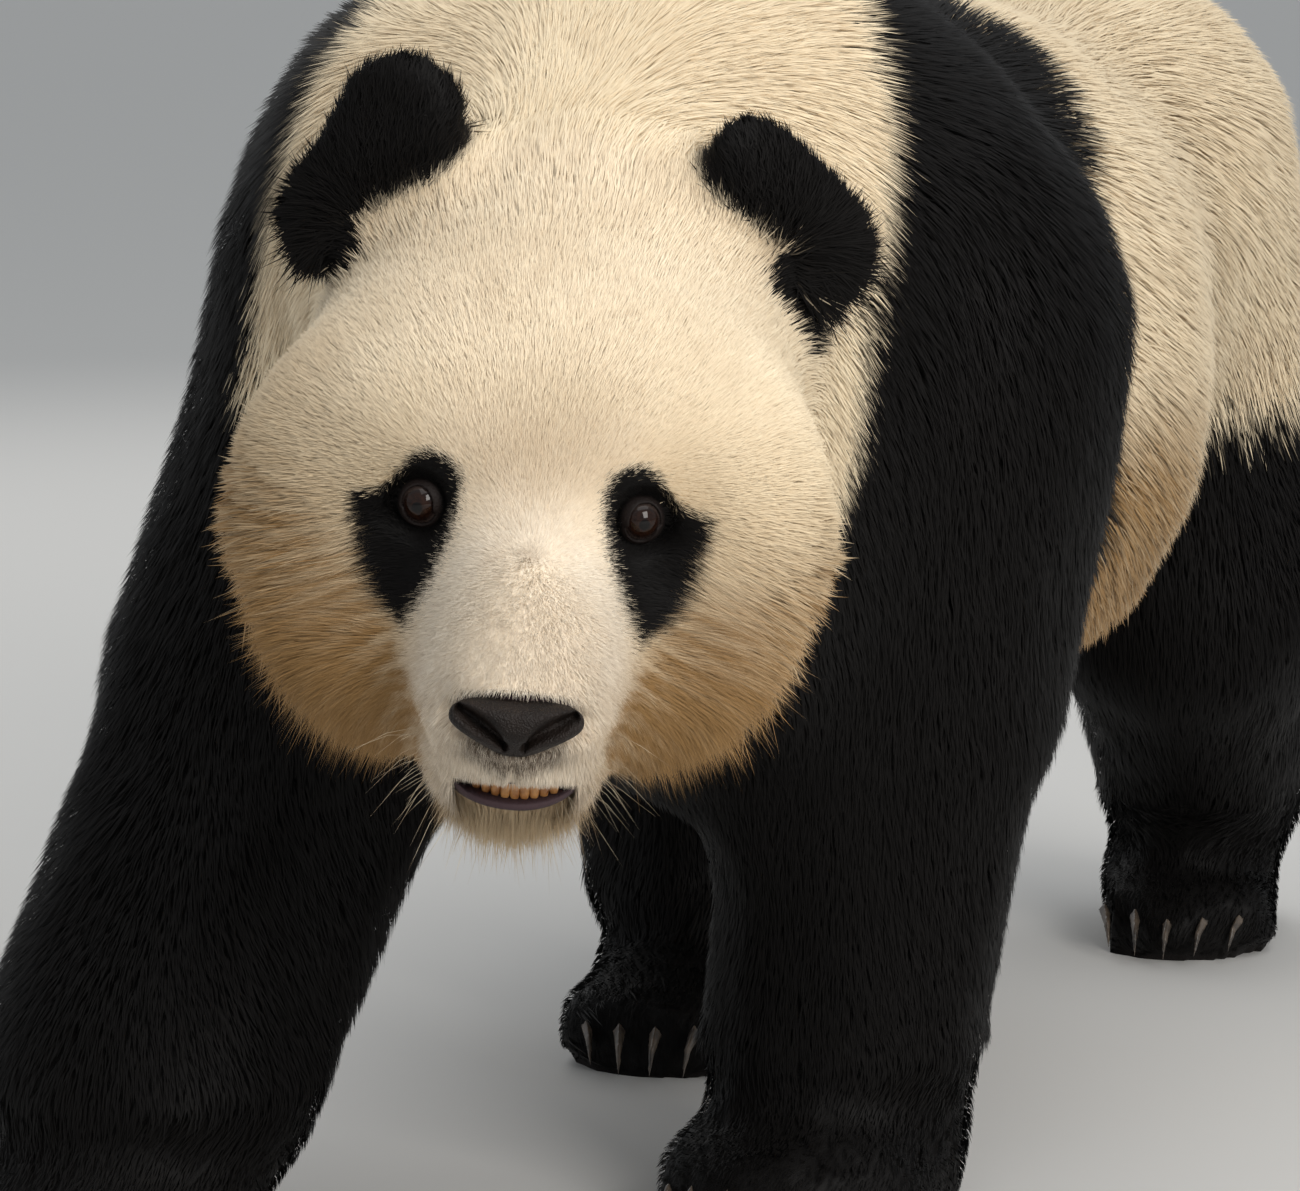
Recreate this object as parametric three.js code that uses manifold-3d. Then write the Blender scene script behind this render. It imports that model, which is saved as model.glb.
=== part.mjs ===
// Giant panda (Ailuropoda melanoleuca), adult, life size, in a slow walk with its head lowered and
// turned to its left. Millimetres, +Z up. It faces -Y and its left side is +X. Every solid runs out
// to the tips of the coat. The body is one blended surface, parted by thin cuts where its parts meet.

import * as THREE from 'three';
import { mergeVertices } from 'three/addons/utils/BufferGeometryUtils.js';
import Module from 'manifold-3d';

const wasm = await Module();
wasm.setup();

// ---- driving dimensions -------------------------------------------------------------------------

const WITHERS_HEIGHT = 760;
const BELLY_CLEARANCE = 268;
const SHOULDER_TO_HIP = 790;
const CHEST_WIDTH = 470;
const BELLY_WIDTH = 505;
const RUMP_WIDTH = 460;

const EYE_HEIGHT = 482;
const EYE_TO_SHOULDER = 430;
const HEAD_ASIDE = 50;
const HEAD_YAW = 16;
const HEAD_PITCH = 12;
const HEAD_ROLL = 4.6;
const HEAD_WIDTH = 332;
const CRANIUM_LENGTH = 205;
const MUZZLE_LENGTH = 134;
const MUZZLE_WIDTH = 110;
const EYE_SPACING = 111;
const EYE_RADIUS = 12;
const EAR_THICKNESS = 0.75;
const EAR_CUP_SHARE = 0.62;
const NOSE_WIDTH = 69;
const EYE_DEPTH = 7;
const MOUTH_Z = -112;
const MOUTH_WIDTH = 60;
const MOUTH_GAPE = 10;
const MOUTH_DEPTH = 42;
const MUZZLE_CUT_Y = -28;
const TEETH_WIDTH = 42;
const TEETH_SET_BACK = 38;

const FOREPAW_WIDTH = 166;
const HINDFOOT_WIDTH = 150;
const CLAW_LENGTH = 42;
const CLAW_BASE_RADIUS = 6.5;
const TAIL_LENGTH = 125;

const CUT = 0.4;          // gap left by every cut
const SLIVER = 0.05;      // points closer than this are one point
const TRUNK_FACET = 80;   // edge of a facet, here and below
const LEG_FACET = 71;
const HEAD_FACET = 27;
const PAW_FACET = 35;
const EAR_FACET = 15;
const NOSE_FACET = 10;

const BLACK_FUR = 0x17161a;
const CREAM_FUR = 0xe6d3b0;
const NOSE_SKIN = 0x34302f;
const EYE_BROWN = 0x2a1a14;
const CLAW_HORN = 0x6b5d4c;

// ---- small helpers ------------------------------------------------------------------------------

const at = (x, y, z) => new THREE.Vector3(x, y, z);
const radians = THREE.MathUtils.degToRad;
const SIDES = { left: 1, right: -1 };

/** A frame at `origin`, turned by angles in degrees: pitch about X, then roll about Y, then yaw about Z. */
function frameAt(origin, pitch = 0, roll = 0, yaw = 0) {
  const turn = new THREE.Euler(radians(pitch), radians(roll), radians(yaw), 'ZXY');
  return new THREE.Matrix4().makeRotationFromEuler(turn).setPosition(origin);
}

// ---- masses: functions of a point, negative inside and close to the distance in millimetres -------

function ellipsoid(centre, radii, pitch = 0, roll = 0, yaw = 0) {
  const inward = frameAt(centre, pitch, roll, yaw).invert();
  const q = at(0, 0, 0);
  return (p) => {
    q.copy(p).applyMatrix4(inward).divide(radii);
    const reach = q.length();
    const slope = q.divide(radii).length();
    return slope > 0 ? (reach * (reach - 1)) / slope : -Math.min(...radii);
  };
}

/** A tapered round length of limb between two joints. */
function limb(from, to, fromRadius, toRadius) {
  const axis = to.clone().sub(from);
  const q = at(0, 0, 0);
  return (p) => {
    const along = THREE.MathUtils.clamp(q.copy(p).sub(from).dot(axis) / axis.lengthSq(), 0, 1);
    const radius = THREE.MathUtils.lerp(fromRadius, toRadius, along);
    return q.copy(from).addScaledVector(axis, along).distanceTo(p) - radius;
  };
}

/** Joins masses with a smooth fillet about as wide as `softness`. */
function blend(softness, ...masses) {
  return (p) => masses.reduce((near, mass) => {
    const next = mass(p);
    const overlap = Math.max(softness - Math.abs(near - next), 0) / softness;
    return Math.min(near, next) - (overlap * overlap * softness) / 4;
  }, Infinity);
}

/** Hollows a mass where another one reaches into it, with a rounded rim. */
function carve(softness, mass, tool) {
  const hollowed = blend(softness, (p) => -mass(p), tool);
  return (p) => -hollowed(p);
}

const clipped = (mass, clip) => (p) => Math.max(mass(p), clip(p));

function placed(mass, frame) {
  const inward = frame.clone().invert();
  const q = at(0, 0, 0);
  return (p) => mass(q.copy(p).applyMatrix4(inward));
}

// ---- surfaces -----------------------------------------------------------------------------------

/** Moves a point onto the surface of a mass along the steepest way. */
function ontoSurface(p, mass) {
  const probe = 0.5;
  for (let pass = 0; pass < 3; pass += 1) {
    const value = mass(p);
    const slope = at(
      mass(at(p.x + probe, p.y, p.z)) - mass(at(p.x - probe, p.y, p.z)),
      mass(at(p.x, p.y + probe, p.z)) - mass(at(p.x, p.y - probe, p.z)),
      mass(at(p.x, p.y, p.z + probe)) - mass(at(p.x, p.y, p.z - probe)),
    ).divideScalar(2 * probe);
    p.addScaledVector(slope, -value / Math.max(slope.lengthSq(), 0.05));
  }
}

/** The faceted surface of a mass: one point in each cell of a grid that the surface crosses, joined by
 *  a four-sided face round each crossed grid edge, then spread evenly over the true surface. */
function surfaceOf(mass, box, facet) {
  const size = box.getSize(at(0, 0, 0)).divideScalar(facet).ceil().addScalar(2);
  const [nx, ny, nz] = size.toArray();
  const indexOf = (i, j, k) => i + nx * (j + ny * k);
  const corner = (i, j, k) => at(i, j, k).subScalar(0.5).multiplyScalar(facet).add(box.min);
  const values = new Float64Array(nx * ny * nz);
  for (let k = 0; k < nz; k += 1) {
    for (let j = 0; j < ny; j += 1) {
      for (let i = 0; i < nx; i += 1) values[indexOf(i, j, k)] = mass(corner(i, j, k));
    }
  }
  const points = [];
  const pointOf = new Map();
  const steps = [at(1, 0, 0), at(0, 1, 0), at(0, 0, 1)];
  for (let k = 0; k < nz - 1; k += 1) {
    for (let j = 0; j < ny - 1; j += 1) {
      for (let i = 0; i < nx - 1; i += 1) {
        const point = cellPoint(i, j, k);
        if (point) {
          pointOf.set(indexOf(i, j, k), points.length);
          points.push(point);
        }
      }
    }
  }

  /** The mean of the places where the surface crosses the edges of a cell, or null. */
  function cellPoint(i, j, k) {
    const sum = at(0, 0, 0);
    let crossings = 0;
    for (let edge = 0; edge < 12; edge += 1) {
      const axis = edge >> 2;
      const offset = [0, 0, 0];
      offset[(axis + 1) % 3] = edge & 1;
      offset[(axis + 2) % 3] = (edge >> 1) & 1;
      const [a, b, c] = [i + offset[0], j + offset[1], k + offset[2]];
      const step = steps[axis];
      const start = values[indexOf(a, b, c)];
      const end = values[indexOf(a + step.x, b + step.y, c + step.z)];
      if (start < 0 !== end < 0) {
        sum.add(corner(a, b, c).addScaledVector(step, (facet * start) / (start - end)));
        crossings += 1;
      }
    }
    return crossings ? sum.divideScalar(crossings) : null;
  }

  const faces = [];
  for (let k = 1; k < nz - 1; k += 1) {
    for (let j = 1; j < ny - 1; j += 1) {
      for (let i = 1; i < nx - 1; i += 1) {
        steps.forEach((step, axis) => {
          const inside = values[indexOf(i, j, k)] < 0;
          if (inside === values[indexOf(i + step.x, j + step.y, k + step.z)] < 0) return;
          const u = steps[(axis + 1) % 3];
          const w = steps[(axis + 2) % 3];
          const ring = [[0, 0], [1, 0], [1, 1], [0, 1]].map(([a, b]) => pointOf.get(indexOf(
            i - a * u.x - b * w.x,
            j - a * u.y - b * w.y,
            k - a * u.z - b * w.z,
          )));
          faces.push(inside ? ring : ring.reverse());
        });
      }
    }
  }
  spreadEvenly(points, faces, mass);
  return asGeometry(points, faces);
}

/** Slides each point towards the middle of its neighbours, keeping it on the surface. */
function spreadEvenly(points, faces, mass) {
  for (let pass = 0; pass < 6; pass += 1) {
    const sums = points.map(() => at(0, 0, 0));
    const counts = points.map(() => 0);
    faces.forEach((ring) => ring.forEach((point, side) => {
      sums[point].add(points[ring[(side + 1) % 4]]);
      counts[point] += 1;
    }));
    points.forEach((point, index) => {
      point.lerp(sums[index].divideScalar(counts[index]), 0.5);
      ontoSurface(point, mass);
    });
  }
}

function indexedGeometry(points, corners) {
  const geometry = new THREE.BufferGeometry();
  geometry.setAttribute('position', new THREE.Float32BufferAttribute(points.flatMap((p) => p.toArray()), 3));
  geometry.setIndex(corners);
  return geometry;
}

/** Splits each four-sided face along its shorter diagonal. */
function asGeometry(points, faces) {
  return indexedGeometry(points, faces.flatMap(([a, b, c, d]) => (
    points[a].distanceTo(points[c]) < points[b].distanceTo(points[d])
      ? [a, b, c, a, c, d]
      : [a, b, d, b, c, d]
  )));
}

// ---- solids: cuts and joins -----------------------------------------------------------------------

function solidOf(geometry) {
  const bare = geometry.clone();
  bare.deleteAttribute('normal');
  bare.deleteAttribute('uv');
  const merged = mergeVertices(bare);
  return new wasm.Manifold(new wasm.Mesh({
    numProp: 3,
    vertProperties: new Float32Array(merged.attributes.position.array),
    triVerts: new Uint32Array(merged.index.array),
  }));
}

/** The solid's surface; points that a cut leaves closer than SLIVER become one. */
function geometryOf(solid) {
  const { vertProperties, triVerts } = solid.getMesh();
  const points = [];
  const pointOf = [];
  for (let i = 0; i < vertProperties.length; i += 3) {
    const point = at(...vertProperties.slice(i, i + 3));
    const near = points.findIndex((other) => other.distanceTo(point) < SLIVER);
    pointOf.push(near < 0 ? points.push(point) - 1 : near);
  }
  const corners = [];
  for (let i = 0; i < triVerts.length; i += 3) {
    const [a, b, c] = Array.from(triVerts.slice(i, i + 3), (corner) => pointOf[corner]);
    if (a !== b && b !== c && c !== a) corners.push(a, b, c);
  }
  return indexedGeometry(points, corners);
}

/** The same surface moved outward, as the tool that leaves a gap round a neighbour. */
function swollen(geometry, gap) {
  const grown = geometry.clone();
  grown.computeVertexNormals();
  const { position, normal } = grown.attributes;
  for (let i = 0; i < position.count; i += 1) {
    const p = at(0, 0, 0).fromBufferAttribute(position, i);
    p.addScaledVector(at(0, 0, 0).fromBufferAttribute(normal, i), gap);
    position.setXYZ(i, ...p);
  }
  return grown;
}

/** Everything on the far side of a plane, as a solid block. */
function beyond(point, direction, gap = 0) {
  const reach = 4000;
  const block = new THREE.BoxGeometry(reach, reach, reach).translate(0, 0, reach / 2 + gap);
  const normal = direction.clone().normalize();
  block.applyQuaternion(new THREE.Quaternion().setFromUnitVectors(at(0, 0, 1), normal));
  return solidOf(block.translate(...point));
}

/** Both sides of a plane cut through a solid: [before, after] along `direction`. */
function cutAcross(solid, point, direction) {
  return [
    solid.subtract(beyond(point, direction)),
    solid.intersect(beyond(point, direction, CUT)),
  ];
}

// ---- pose -----------------------------------------------------------------------------------------

const HIP_Y = SHOULDER_TO_HIP;
const BAND_FRONT_Y = -125;
const BAND_REAR_Y = 195;
const LOIN_Y = 590;
const FEET = {
  fore: { width: FOREPAW_WIDTH, heel: FOREPAW_WIDTH * 0.18, clawName: 'foreclaw' },
  hind: { width: HINDFOOT_WIDTH, heel: HINDFOOT_WIDTH * 0.5, clawName: 'hindclaw' },
};
const LEG_NAMES = {
  fore: ['upper_arm', 'forearm', 'forepaw'],
  hind: ['thigh', 'shank', 'hindfoot'],
};

/** Joints of each leg from the trunk down. The right foreleg and right hind leg have stepped forward. */
const LEGS = {
  fore_right: {
    joints: [at(-166, 0, 540), at(-224, -8, 334), at(-274, -135, 112)],
    radii: [114, 111, 104],
    cutRadii: [146, 128],
    foot: at(-286, -178, 0),
    toeTurn: 8,
  },
  fore_left: {
    joints: [at(162, 20, 535), at(124, 58, 335), at(88, 82, 110)],
    radii: [114, 99, 88],
    cutRadii: [146, 128],
    foot: at(86, 40, 0),
    toeTurn: -16,
  },
  hind_right: {
    joints: [at(-138, HIP_Y - 60, 420), at(-160, HIP_Y - 190, 310), at(-132, HIP_Y - 232, 112)],
    radii: [112, 112, 84],
    cutRadii: [138, 127],
    foot: at(-124, HIP_Y - 330, 0),
    toeTurn: 8,
  },
  hind_left: {
    joints: [at(138, HIP_Y + 10, 420), at(158, HIP_Y + 20, 300), at(138, HIP_Y + 200, 118)],
    radii: [112, 110, 82],
    cutRadii: [138, 127],
    foot: at(134, HIP_Y + 150, 0),
    toeTurn: 4,
  },
};

const HEAD_FRAME = frameAt(at(HEAD_ASIDE, -EYE_TO_SHOULDER, EYE_HEIGHT), HEAD_PITCH, HEAD_ROLL, HEAD_YAW);

// ---- body masses ----------------------------------------------------------------------------------

function trunkMass() {
  const middle = (WITHERS_HEIGHT + BELLY_CLEARANCE) / 2;
  const depth = (WITHERS_HEIGHT - BELLY_CLEARANCE) / 2;
  const hips = Object.values(SIDES).map((side) => (
    ellipsoid(at(side * 88, HIP_Y - 30, WITHERS_HEIGHT - 172), at(RUMP_WIDTH / 2 - 88, 200, 132))
  ));
  const flanks = Object.values(SIDES).map((side) => ellipsoid(at(side * 104, 330, 402), at(120, 230, 114)));
  return blend(
    90,
    ellipsoid(at(0, 40, middle - 12), at(CHEST_WIDTH / 2 - 8, 235, depth - 6)),
    ellipsoid(at(0, 30, WITHERS_HEIGHT - 150), at(186, 225, 142)),
    ellipsoid(at(0, HIP_Y / 2 + 30, middle - 12), at(BELLY_WIDTH / 2 - 14, 350, depth - 16)),
    ellipsoid(at(0, HIP_Y, middle), at(RUMP_WIDTH / 2 - 8, 240, depth - 36), 8),
    ...hips,
    ...flanks,
  );
}

/** The neck is short and thick and carries the head low, in front of the shoulders. */
function neckMass() {
  const nape = limb(at(0, 0, 578), at(0, -205, 538), 176, 146);
  const throat = limb(at(0, -60, 440), at(22, -290, 446), 130, 98);
  return blend(60, nape, throat);
}

function legMass({ joints: [upper, middle, lower], radii }) {
  return blend(
    40,
    limb(upper, middle, radii[0], radii[1]),
    limb(middle, lower, radii[1], radii[2]),
  );
}

/** The five short toes across the front of a foot, in the foot's frame. */
function toesOf({ width }) {
  return [-2, -1, 0, 1, 2].map((place) => ({
    place,
    splay: -place * 7,
    centre: at(place * width * 0.19, -width * (0.46 - 0.045 * place * place), width * 0.17),
    radii: at(width * 0.13, width * 0.24, width * 0.19),
  }));
}

/** A broad flat foot; its sole is cut flat later. */
function footMass(foot, leg) {
  const { width, heel } = foot;
  const toes = toesOf(foot).map(({ centre, radii, splay }) => ellipsoid(centre, radii, 0, 0, splay));
  const pad = ellipsoid(at(0, 0, width * 0.2), at(width * 0.47, width * 0.5, width * 0.32));
  const back = ellipsoid(at(0, heel, width * 0.2), at(width * 0.4, width * 0.46, width * 0.34));
  return placed(blend(20, blend(40, pad, back), ...toes), frameAt(leg.foot, 0, 0, leg.toeTurn));
}

/** The head in its own frame: origin midway between the eyes, muzzle towards -Y. */
function headMass() {
  const cheekX = HEAD_WIDTH / 2 - 82;
  const half = EYE_SPACING / 2;
  const cheeks = Object.values(SIDES).flatMap((side) => [
    ellipsoid(at(side * cheekX, 84, -36), at(80, 82, 84)),
    ellipsoid(at(side * half, 36, 30), at(40, 30, 26)),
    ellipsoid(at(side * 74, 34, -84), at(56, 62, 44)),
  ]);
  return blend(
    34,
    ellipsoid(at(0, 96, 0), at(HEAD_WIDTH / 2 - 22, 106, 106)),
    ellipsoid(at(0, CRANIUM_LENGTH - 66, 22), at(112, 82, 80)),
    ...cheeks,
    ellipsoid(at(0, 30, -92), at(86, 86, 46)),
    ellipsoid(at(0, -24, -32), at(40, 62, 36), 24),
    ellipsoid(at(0, -MUZZLE_LENGTH / 2 + 4, -70), at(MUZZLE_WIDTH / 2 - 3, MUZZLE_LENGTH / 2 - 4, 42), 6),
    ellipsoid(at(0, -40, -116), at(46, 56, 36), -4),
  );
}

/** The right shoulder blade, which stands out over the leg that bears the weight. */
const shoulderBlade = ellipsoid(at(-132, -20, 618), at(98, 130, 122));
const bodyMass = blend(70, trunkMass(), neckMass(), ...Object.values(LEGS).map(legMass), shoulderBlade);
const headAndNeck = blend(46, placed(headMass(), HEAD_FRAME), bodyMass);

// ---- head pieces ----------------------------------------------------------------------------------

/** Converts a place or a direction from the head's frame to the body's. */
const headPoint = (x, y, z) => at(x, y, z).applyMatrix4(HEAD_FRAME);
const headWay = (x, y, z) => at(x, y, z).transformDirection(HEAD_FRAME);
const inHead = (...frame) => HEAD_FRAME.clone().multiply(frameAt(...frame));

const placedSolid = (geometry, frame) => solidOf(geometry.clone().applyMatrix4(frame));

/** Thins a mass along Y to a share of its thickness. */
function thinned(share, mass) {
  const q = at(0, 0, 0);
  return (p) => mass(q.set(p.x, p.y / share, p.z)) * share;
}

/**
 * How each ear is set on the head, in the head's frame; the left one is turned further outward. In the ear's own
 * frame its outline is two round lobes and the lower edge between two points of its root.
 */
const EARS = {
  left: {
    seat: at(103, 178, 86), lean: 32, turn: 26,
    inner: [at(-18, 0, 45), 30], outer: [at(38, 0, 36), 25], root: [at(-22, 0, 14), at(34, 0, 4)],
  },
  right: {
    seat: at(-80, 178, 96), lean: -17, turn: -14,
    inner: [at(8, 0, 50), 36], outer: [at(-40, 0, 15), 18], root: [at(22, 0, 16), at(-34, 0, -4)],
  },
};

/** A cupped ear that faces forward and outward, longer than it is high, with its root sunk in the head. */
function earSolid({ seat, lean, turn, inner, outer, root }, headTool) {
  const crown = limb(inner[0], outer[0], inner[1], outer[1]);
  const shell = thinned(EAR_THICKNESS, blend(16, crown, limb(root[0], root[1], 18, 15)));
  const inFront = at(0, -46, 2);
  const cup = limb(
    inner[0].clone().add(inFront), outer[0].clone().add(inFront), inner[1] * EAR_CUP_SHARE, outer[1] * EAR_CUP_SHARE,
  );
  const box = new THREE.Box3(at(-80, -50, -50), at(80, 50, 110));
  const ear = surfaceOf(carve(10, shell, thinned(EAR_THICKNESS, cup)), box, EAR_FACET);
  return placedSolid(ear, inHead(seat, -12, lean, turn)).subtract(headTool);
}

/** The bare nose pad: broad on top, narrow below, with a nostril on each side. */
function noseGeometry() {
  const half = NOSE_WIDTH / 2;
  const pad = blend(
    8,
    ellipsoid(at(0, 0, 4), at(half, 17, 11)),
    ellipsoid(at(0, -1, -5), at(half * 0.6, 15, 13)),
  );
  const nostrils = Object.values(SIDES).map((side) => (
    ellipsoid(at(side * half * 0.56, -17, 0), at(8, 8, 5), 0, side * -38)
  ));
  const box = new THREE.Box3(at(-half, -24, -26), at(half, 24, 22)).expandByScalar(NOSE_FACET);
  return surfaceOf(carve(3, pad, blend(2, ...nostrils)), box, NOSE_FACET);
}

/** A short row of worn front teeth that stands on the lower jaw. */
function teethSolid() {
  const count = 6;
  const spacing = TEETH_WIDTH / count;
  const teeth = Array.from({ length: count }, (_, index) => {
    const place = index - (count - 1) / 2;
    const tooth = new THREE.SphereGeometry(1, 6, 4).scale(spacing * 0.6, 4.2, MOUTH_GAPE * 0.85);
    const setBack = TEETH_SET_BACK - MUZZLE_LENGTH + place * place * 0.6;
    return placedSolid(tooth, inHead(at(place * spacing, setBack, MOUTH_Z - 6)));
  });
  return teeth.reduce((row, tooth) => row.add(tooth));
}

function eyeSolids(side) {
  const frame = inHead(at((side * EYE_SPACING) / 2, EYE_DEPTH, 0), 0, 0, side * 14);
  const opening = new THREE.SphereGeometry(1, 10, 6).scale(13, 14, 14).translate(0, -12, 0);
  return {
    ball: placedSolid(new THREE.SphereGeometry(EYE_RADIUS, 10, 6), frame),
    socket: placedSolid(new THREE.SphereGeometry(EYE_RADIUS + 3 * CUT, 10, 7), frame)
      .add(placedSolid(opening, frame)),
  };
}

/** Parts the front of the head at the mouth, which stands slightly open in front: [head, muzzle, jaw]. */
function cutMouth(whole) {
  const hinge = headPoint(0, MUZZLE_CUT_Y, MOUTH_Z);
  const [head, front] = cutAcross(whole, hinge, headWay(0, -1, 0));
  const opening = new THREE.CapsuleGeometry(MOUTH_GAPE / 2, MOUTH_WIDTH - MOUTH_GAPE, 3, 12)
    .rotateZ(Math.PI / 2)
    .scale(1, (2 * MOUTH_DEPTH) / MOUTH_GAPE, 1);
  const lips = front.subtract(placedSolid(opening, inHead(at(0, 14 - MUZZLE_LENGTH, MOUTH_Z))));
  const [jaw, muzzle] = cutAcross(lips, hinge, headWay(0, 0, 1));
  return [head, muzzle, jaw];
}

const NECK_CUT = { point: headPoint(0, CRANIUM_LENGTH - 22, 40), way: headWay(0, -1, 0.12) };

// ---- legs -----------------------------------------------------------------------------------------

/** A round-ended tool round one bone, wider than the limb, which parts the limb from the trunk. */
function boneTool(from, to, radius) {
  const tool = new THREE.CapsuleGeometry(radius, from.distanceTo(to), 2, 9);
  const along = to.clone().sub(from).normalize();
  tool.applyQuaternion(new THREE.Quaternion().setFromUnitVectors(at(0, 1, 0), along));
  return solidOf(tool.translate(...from.clone().lerp(to, 0.5)));
}

function legTool({ joints: [upper, middle, lower], cutRadii }, gap) {
  return boneTool(upper, middle, cutRadii[0] + gap).add(boneTool(middle, lower, cutRadii[1] + gap));
}

/** Cuts a leg at its middle joint and above its foot: [upper, lower]. */
function cutLeg(leg, { joints: [upper, middle, lower] }) {
  const way = lower.clone().sub(middle).normalize().add(middle.clone().sub(upper).normalize());
  const [top, rest] = cutAcross(leg, middle, way);
  return [top, rest.subtract(beyond(lower, at(0, 0, -1)))];
}

/** The foot below its joint, finer than the leg, cut flat at the floor. */
function footGeometry(foot, leg) {
  const joint = leg.joints[2];
  const middle = at((leg.foot.x + joint.x) / 2, (leg.foot.y + joint.y) / 2, 40);
  const ball = ellipsoid(middle, at(200, 200, 130));
  const box = new THREE.Box3().setFromCenterAndSize(middle, at(410, 410, 280));
  return surfaceOf(clipped(blend(24, footMass(foot, leg), bodyMass), ball), box, PAW_FACET);
}

/** A claw: a tapered horn, bent down along an arc from the place where it leaves the toe. */
function clawGeometry() {
  const bend = radians(58);
  const arc = CLAW_LENGTH / bend;
  const claw = new THREE.CylinderGeometry(0.9, CLAW_BASE_RADIUS, CLAW_LENGTH, 4, 2);
  const { position } = claw.attributes;
  for (let i = 0; i < position.count; i += 1) {
    const turn = ((position.getY(i) + CLAW_LENGTH / 2) / CLAW_LENGTH) * bend;
    const out = arc - position.getZ(i);
    position.setXYZ(i, position.getX(i) * 0.7, -out * Math.sin(turn), out * Math.cos(turn) - arc);
  }
  return claw;
}

// ---- assembly -------------------------------------------------------------------------------------

const panda = new THREE.Group();

function addMesh(name, solid, color, roughness = 0.95) {
  const material = new THREE.MeshStandardMaterial({ color, roughness, metalness: 0 });
  const mesh = new THREE.Mesh(geometryOf(solid), material);
  mesh.name = name;
  panda.add(mesh);
}

function addHead() {
  const reach = 290;
  const middle = headPoint(0, 70, -10);
  const box = new THREE.Box3().setFromCenterAndSize(middle, at(2 * reach, 2 * reach, 2 * reach));
  const ball = ellipsoid(middle, at(reach - 20, reach - 20, reach - 20));
  const surface = surfaceOf(clipped(headAndNeck, ball), box, HEAD_FACET);
  const nose = noseGeometry();
  const noseFrame = inHead(at(0, 14 - MUZZLE_LENGTH, -70), -10);
  let whole = solidOf(surface)
    .intersect(beyond(NECK_CUT.point, NECK_CUT.way, CUT))
    .subtract(placedSolid(swollen(nose, CUT), noseFrame));
  Object.entries(SIDES).forEach(([name, side]) => {
    const { ball: eye, socket } = eyeSolids(side);
    whole = whole.subtract(socket);
    addMesh(`eye_${name}`, eye, EYE_BROWN, 0.1);
    const ear = earSolid(EARS[name], solidOf(swollen(surface, CUT))).subtract(aroundBody);
    addMesh(`ear_${name}`, ear, BLACK_FUR);
  });
  const [head, muzzle, jaw] = cutMouth(whole);
  addMesh('head', head, CREAM_FUR);
  addMesh('muzzle', muzzle, CREAM_FUR);
  addMesh('jaw', jaw.add(teethSolid()), CREAM_FUR);
  addMesh('nose', placedSolid(nose, noseFrame), NOSE_SKIN, 0.6);
}

function addTrunk(trunk) {
  const [front, rear] = cutAcross(trunk, at(0, BAND_REAR_Y, 500), at(0, 1, 0));
  const [neck, chest] = cutAcross(front, at(0, BAND_FRONT_Y, 600), at(0, 1, -0.3));
  const [belly, rump] = cutAcross(rear, at(0, LOIN_Y, 500), at(0, 1, 0));
  addMesh('neck', neck.subtract(beyond(NECK_CUT.point, NECK_CUT.way)), CREAM_FUR);
  addMesh('chest', chest, BLACK_FUR);
  addMesh('belly', belly, CREAM_FUR);
  addMesh('rump', rump, CREAM_FUR);
  addMesh('tail', solidOf(tailGeometry()).subtract(aroundBody), CREAM_FUR);
}

/** The short tail, pressed against the rump, as a flattened tapered lock. */
function tailGeometry() {
  const root = at(0, HIP_Y + 212, 560);
  const tip = at(0, HIP_Y + 246, root.z - TAIL_LENGTH + 30);
  const box = new THREE.Box3().setFromPoints([root, tip]).expandByScalar(60);
  return surfaceOf(limb(root, tip, 40, 28), box, PAW_FACET);
}

function addFoot(name, side, foot, leg) {
  const surface = footGeometry(foot, leg);
  const solid = solidOf(surface)
    .intersect(beyond(leg.joints[2], at(0, 0, -1), CUT))
    .intersect(beyond(at(0, 0, 0), at(0, 0, 1)));
  addMesh(`${name}_${side}`, solid, BLACK_FUR);
  const aroundFoot = solidOf(swollen(surface, CUT));
  toesOf(foot).forEach(({ place, centre, radii, splay }) => {
    const root = at(0, -radii.y * 0.72, radii.z * 0.25);
    const frame = frameAt(leg.foot, 0, 0, leg.toeTurn)
      .multiply(frameAt(centre, 0, 0, splay))
      .multiply(frameAt(root, 8));
    const claw = placedSolid(clawGeometry(), frame).subtract(aroundFoot);
    addMesh(`${foot.clawName}_${side}_${place + 3}`, claw, CLAW_HORN, 0.5);
  });
}

/** The blended body round one leg, in finer facets than the trunk. */
function legSolid({ joints }) {
  const reach = 192;
  const box = new THREE.Box3().setFromPoints(joints).expandByScalar(reach);
  const hull = blend(1, ...joints.slice(1).map((joint, bone) => (
    limb(joints[bone], joint, reach - LEG_FACET / 2, reach - LEG_FACET / 2)
  )));
  return solidOf(surfaceOf(clipped(bodyMass, hull), box, LEG_FACET));
}

function addLeg(side, leg, foot, [upperName, lowerName, footName]) {
  const [upper, lower] = cutLeg(legSolid(leg).intersect(legTool(leg, 0)), leg);
  addMesh(`${upperName}_${side}`, upper, BLACK_FUR);
  addMesh(`${lowerName}_${side}`, lower, BLACK_FUR);
  addFoot(footName, side, foot, leg);
}

const bodyBox = new THREE.Box3(at(-440, -520, -80), at(420, HIP_Y + 420, 880));
const bodySurface = surfaceOf(bodyMass, bodyBox, TRUNK_FACET);
const aroundBody = solidOf(swollen(bodySurface, CUT));

Object.entries(LEGS).forEach(([name, leg]) => {
  const [kind, side] = name.split('_');
  addLeg(side, leg, FEET[kind], LEG_NAMES[kind]);
});
const legTools = Object.values(LEGS).map((leg) => legTool(leg, CUT));
addTrunk(legTools.reduce((rest, tool) => rest.subtract(tool), solidOf(bodySurface)));
addHead();

const middle = new THREE.Box3().setFromObject(panda).getCenter(at(0, 0, 0));
panda.position.set(-middle.x, -middle.y, 0);

export default panda;
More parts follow.
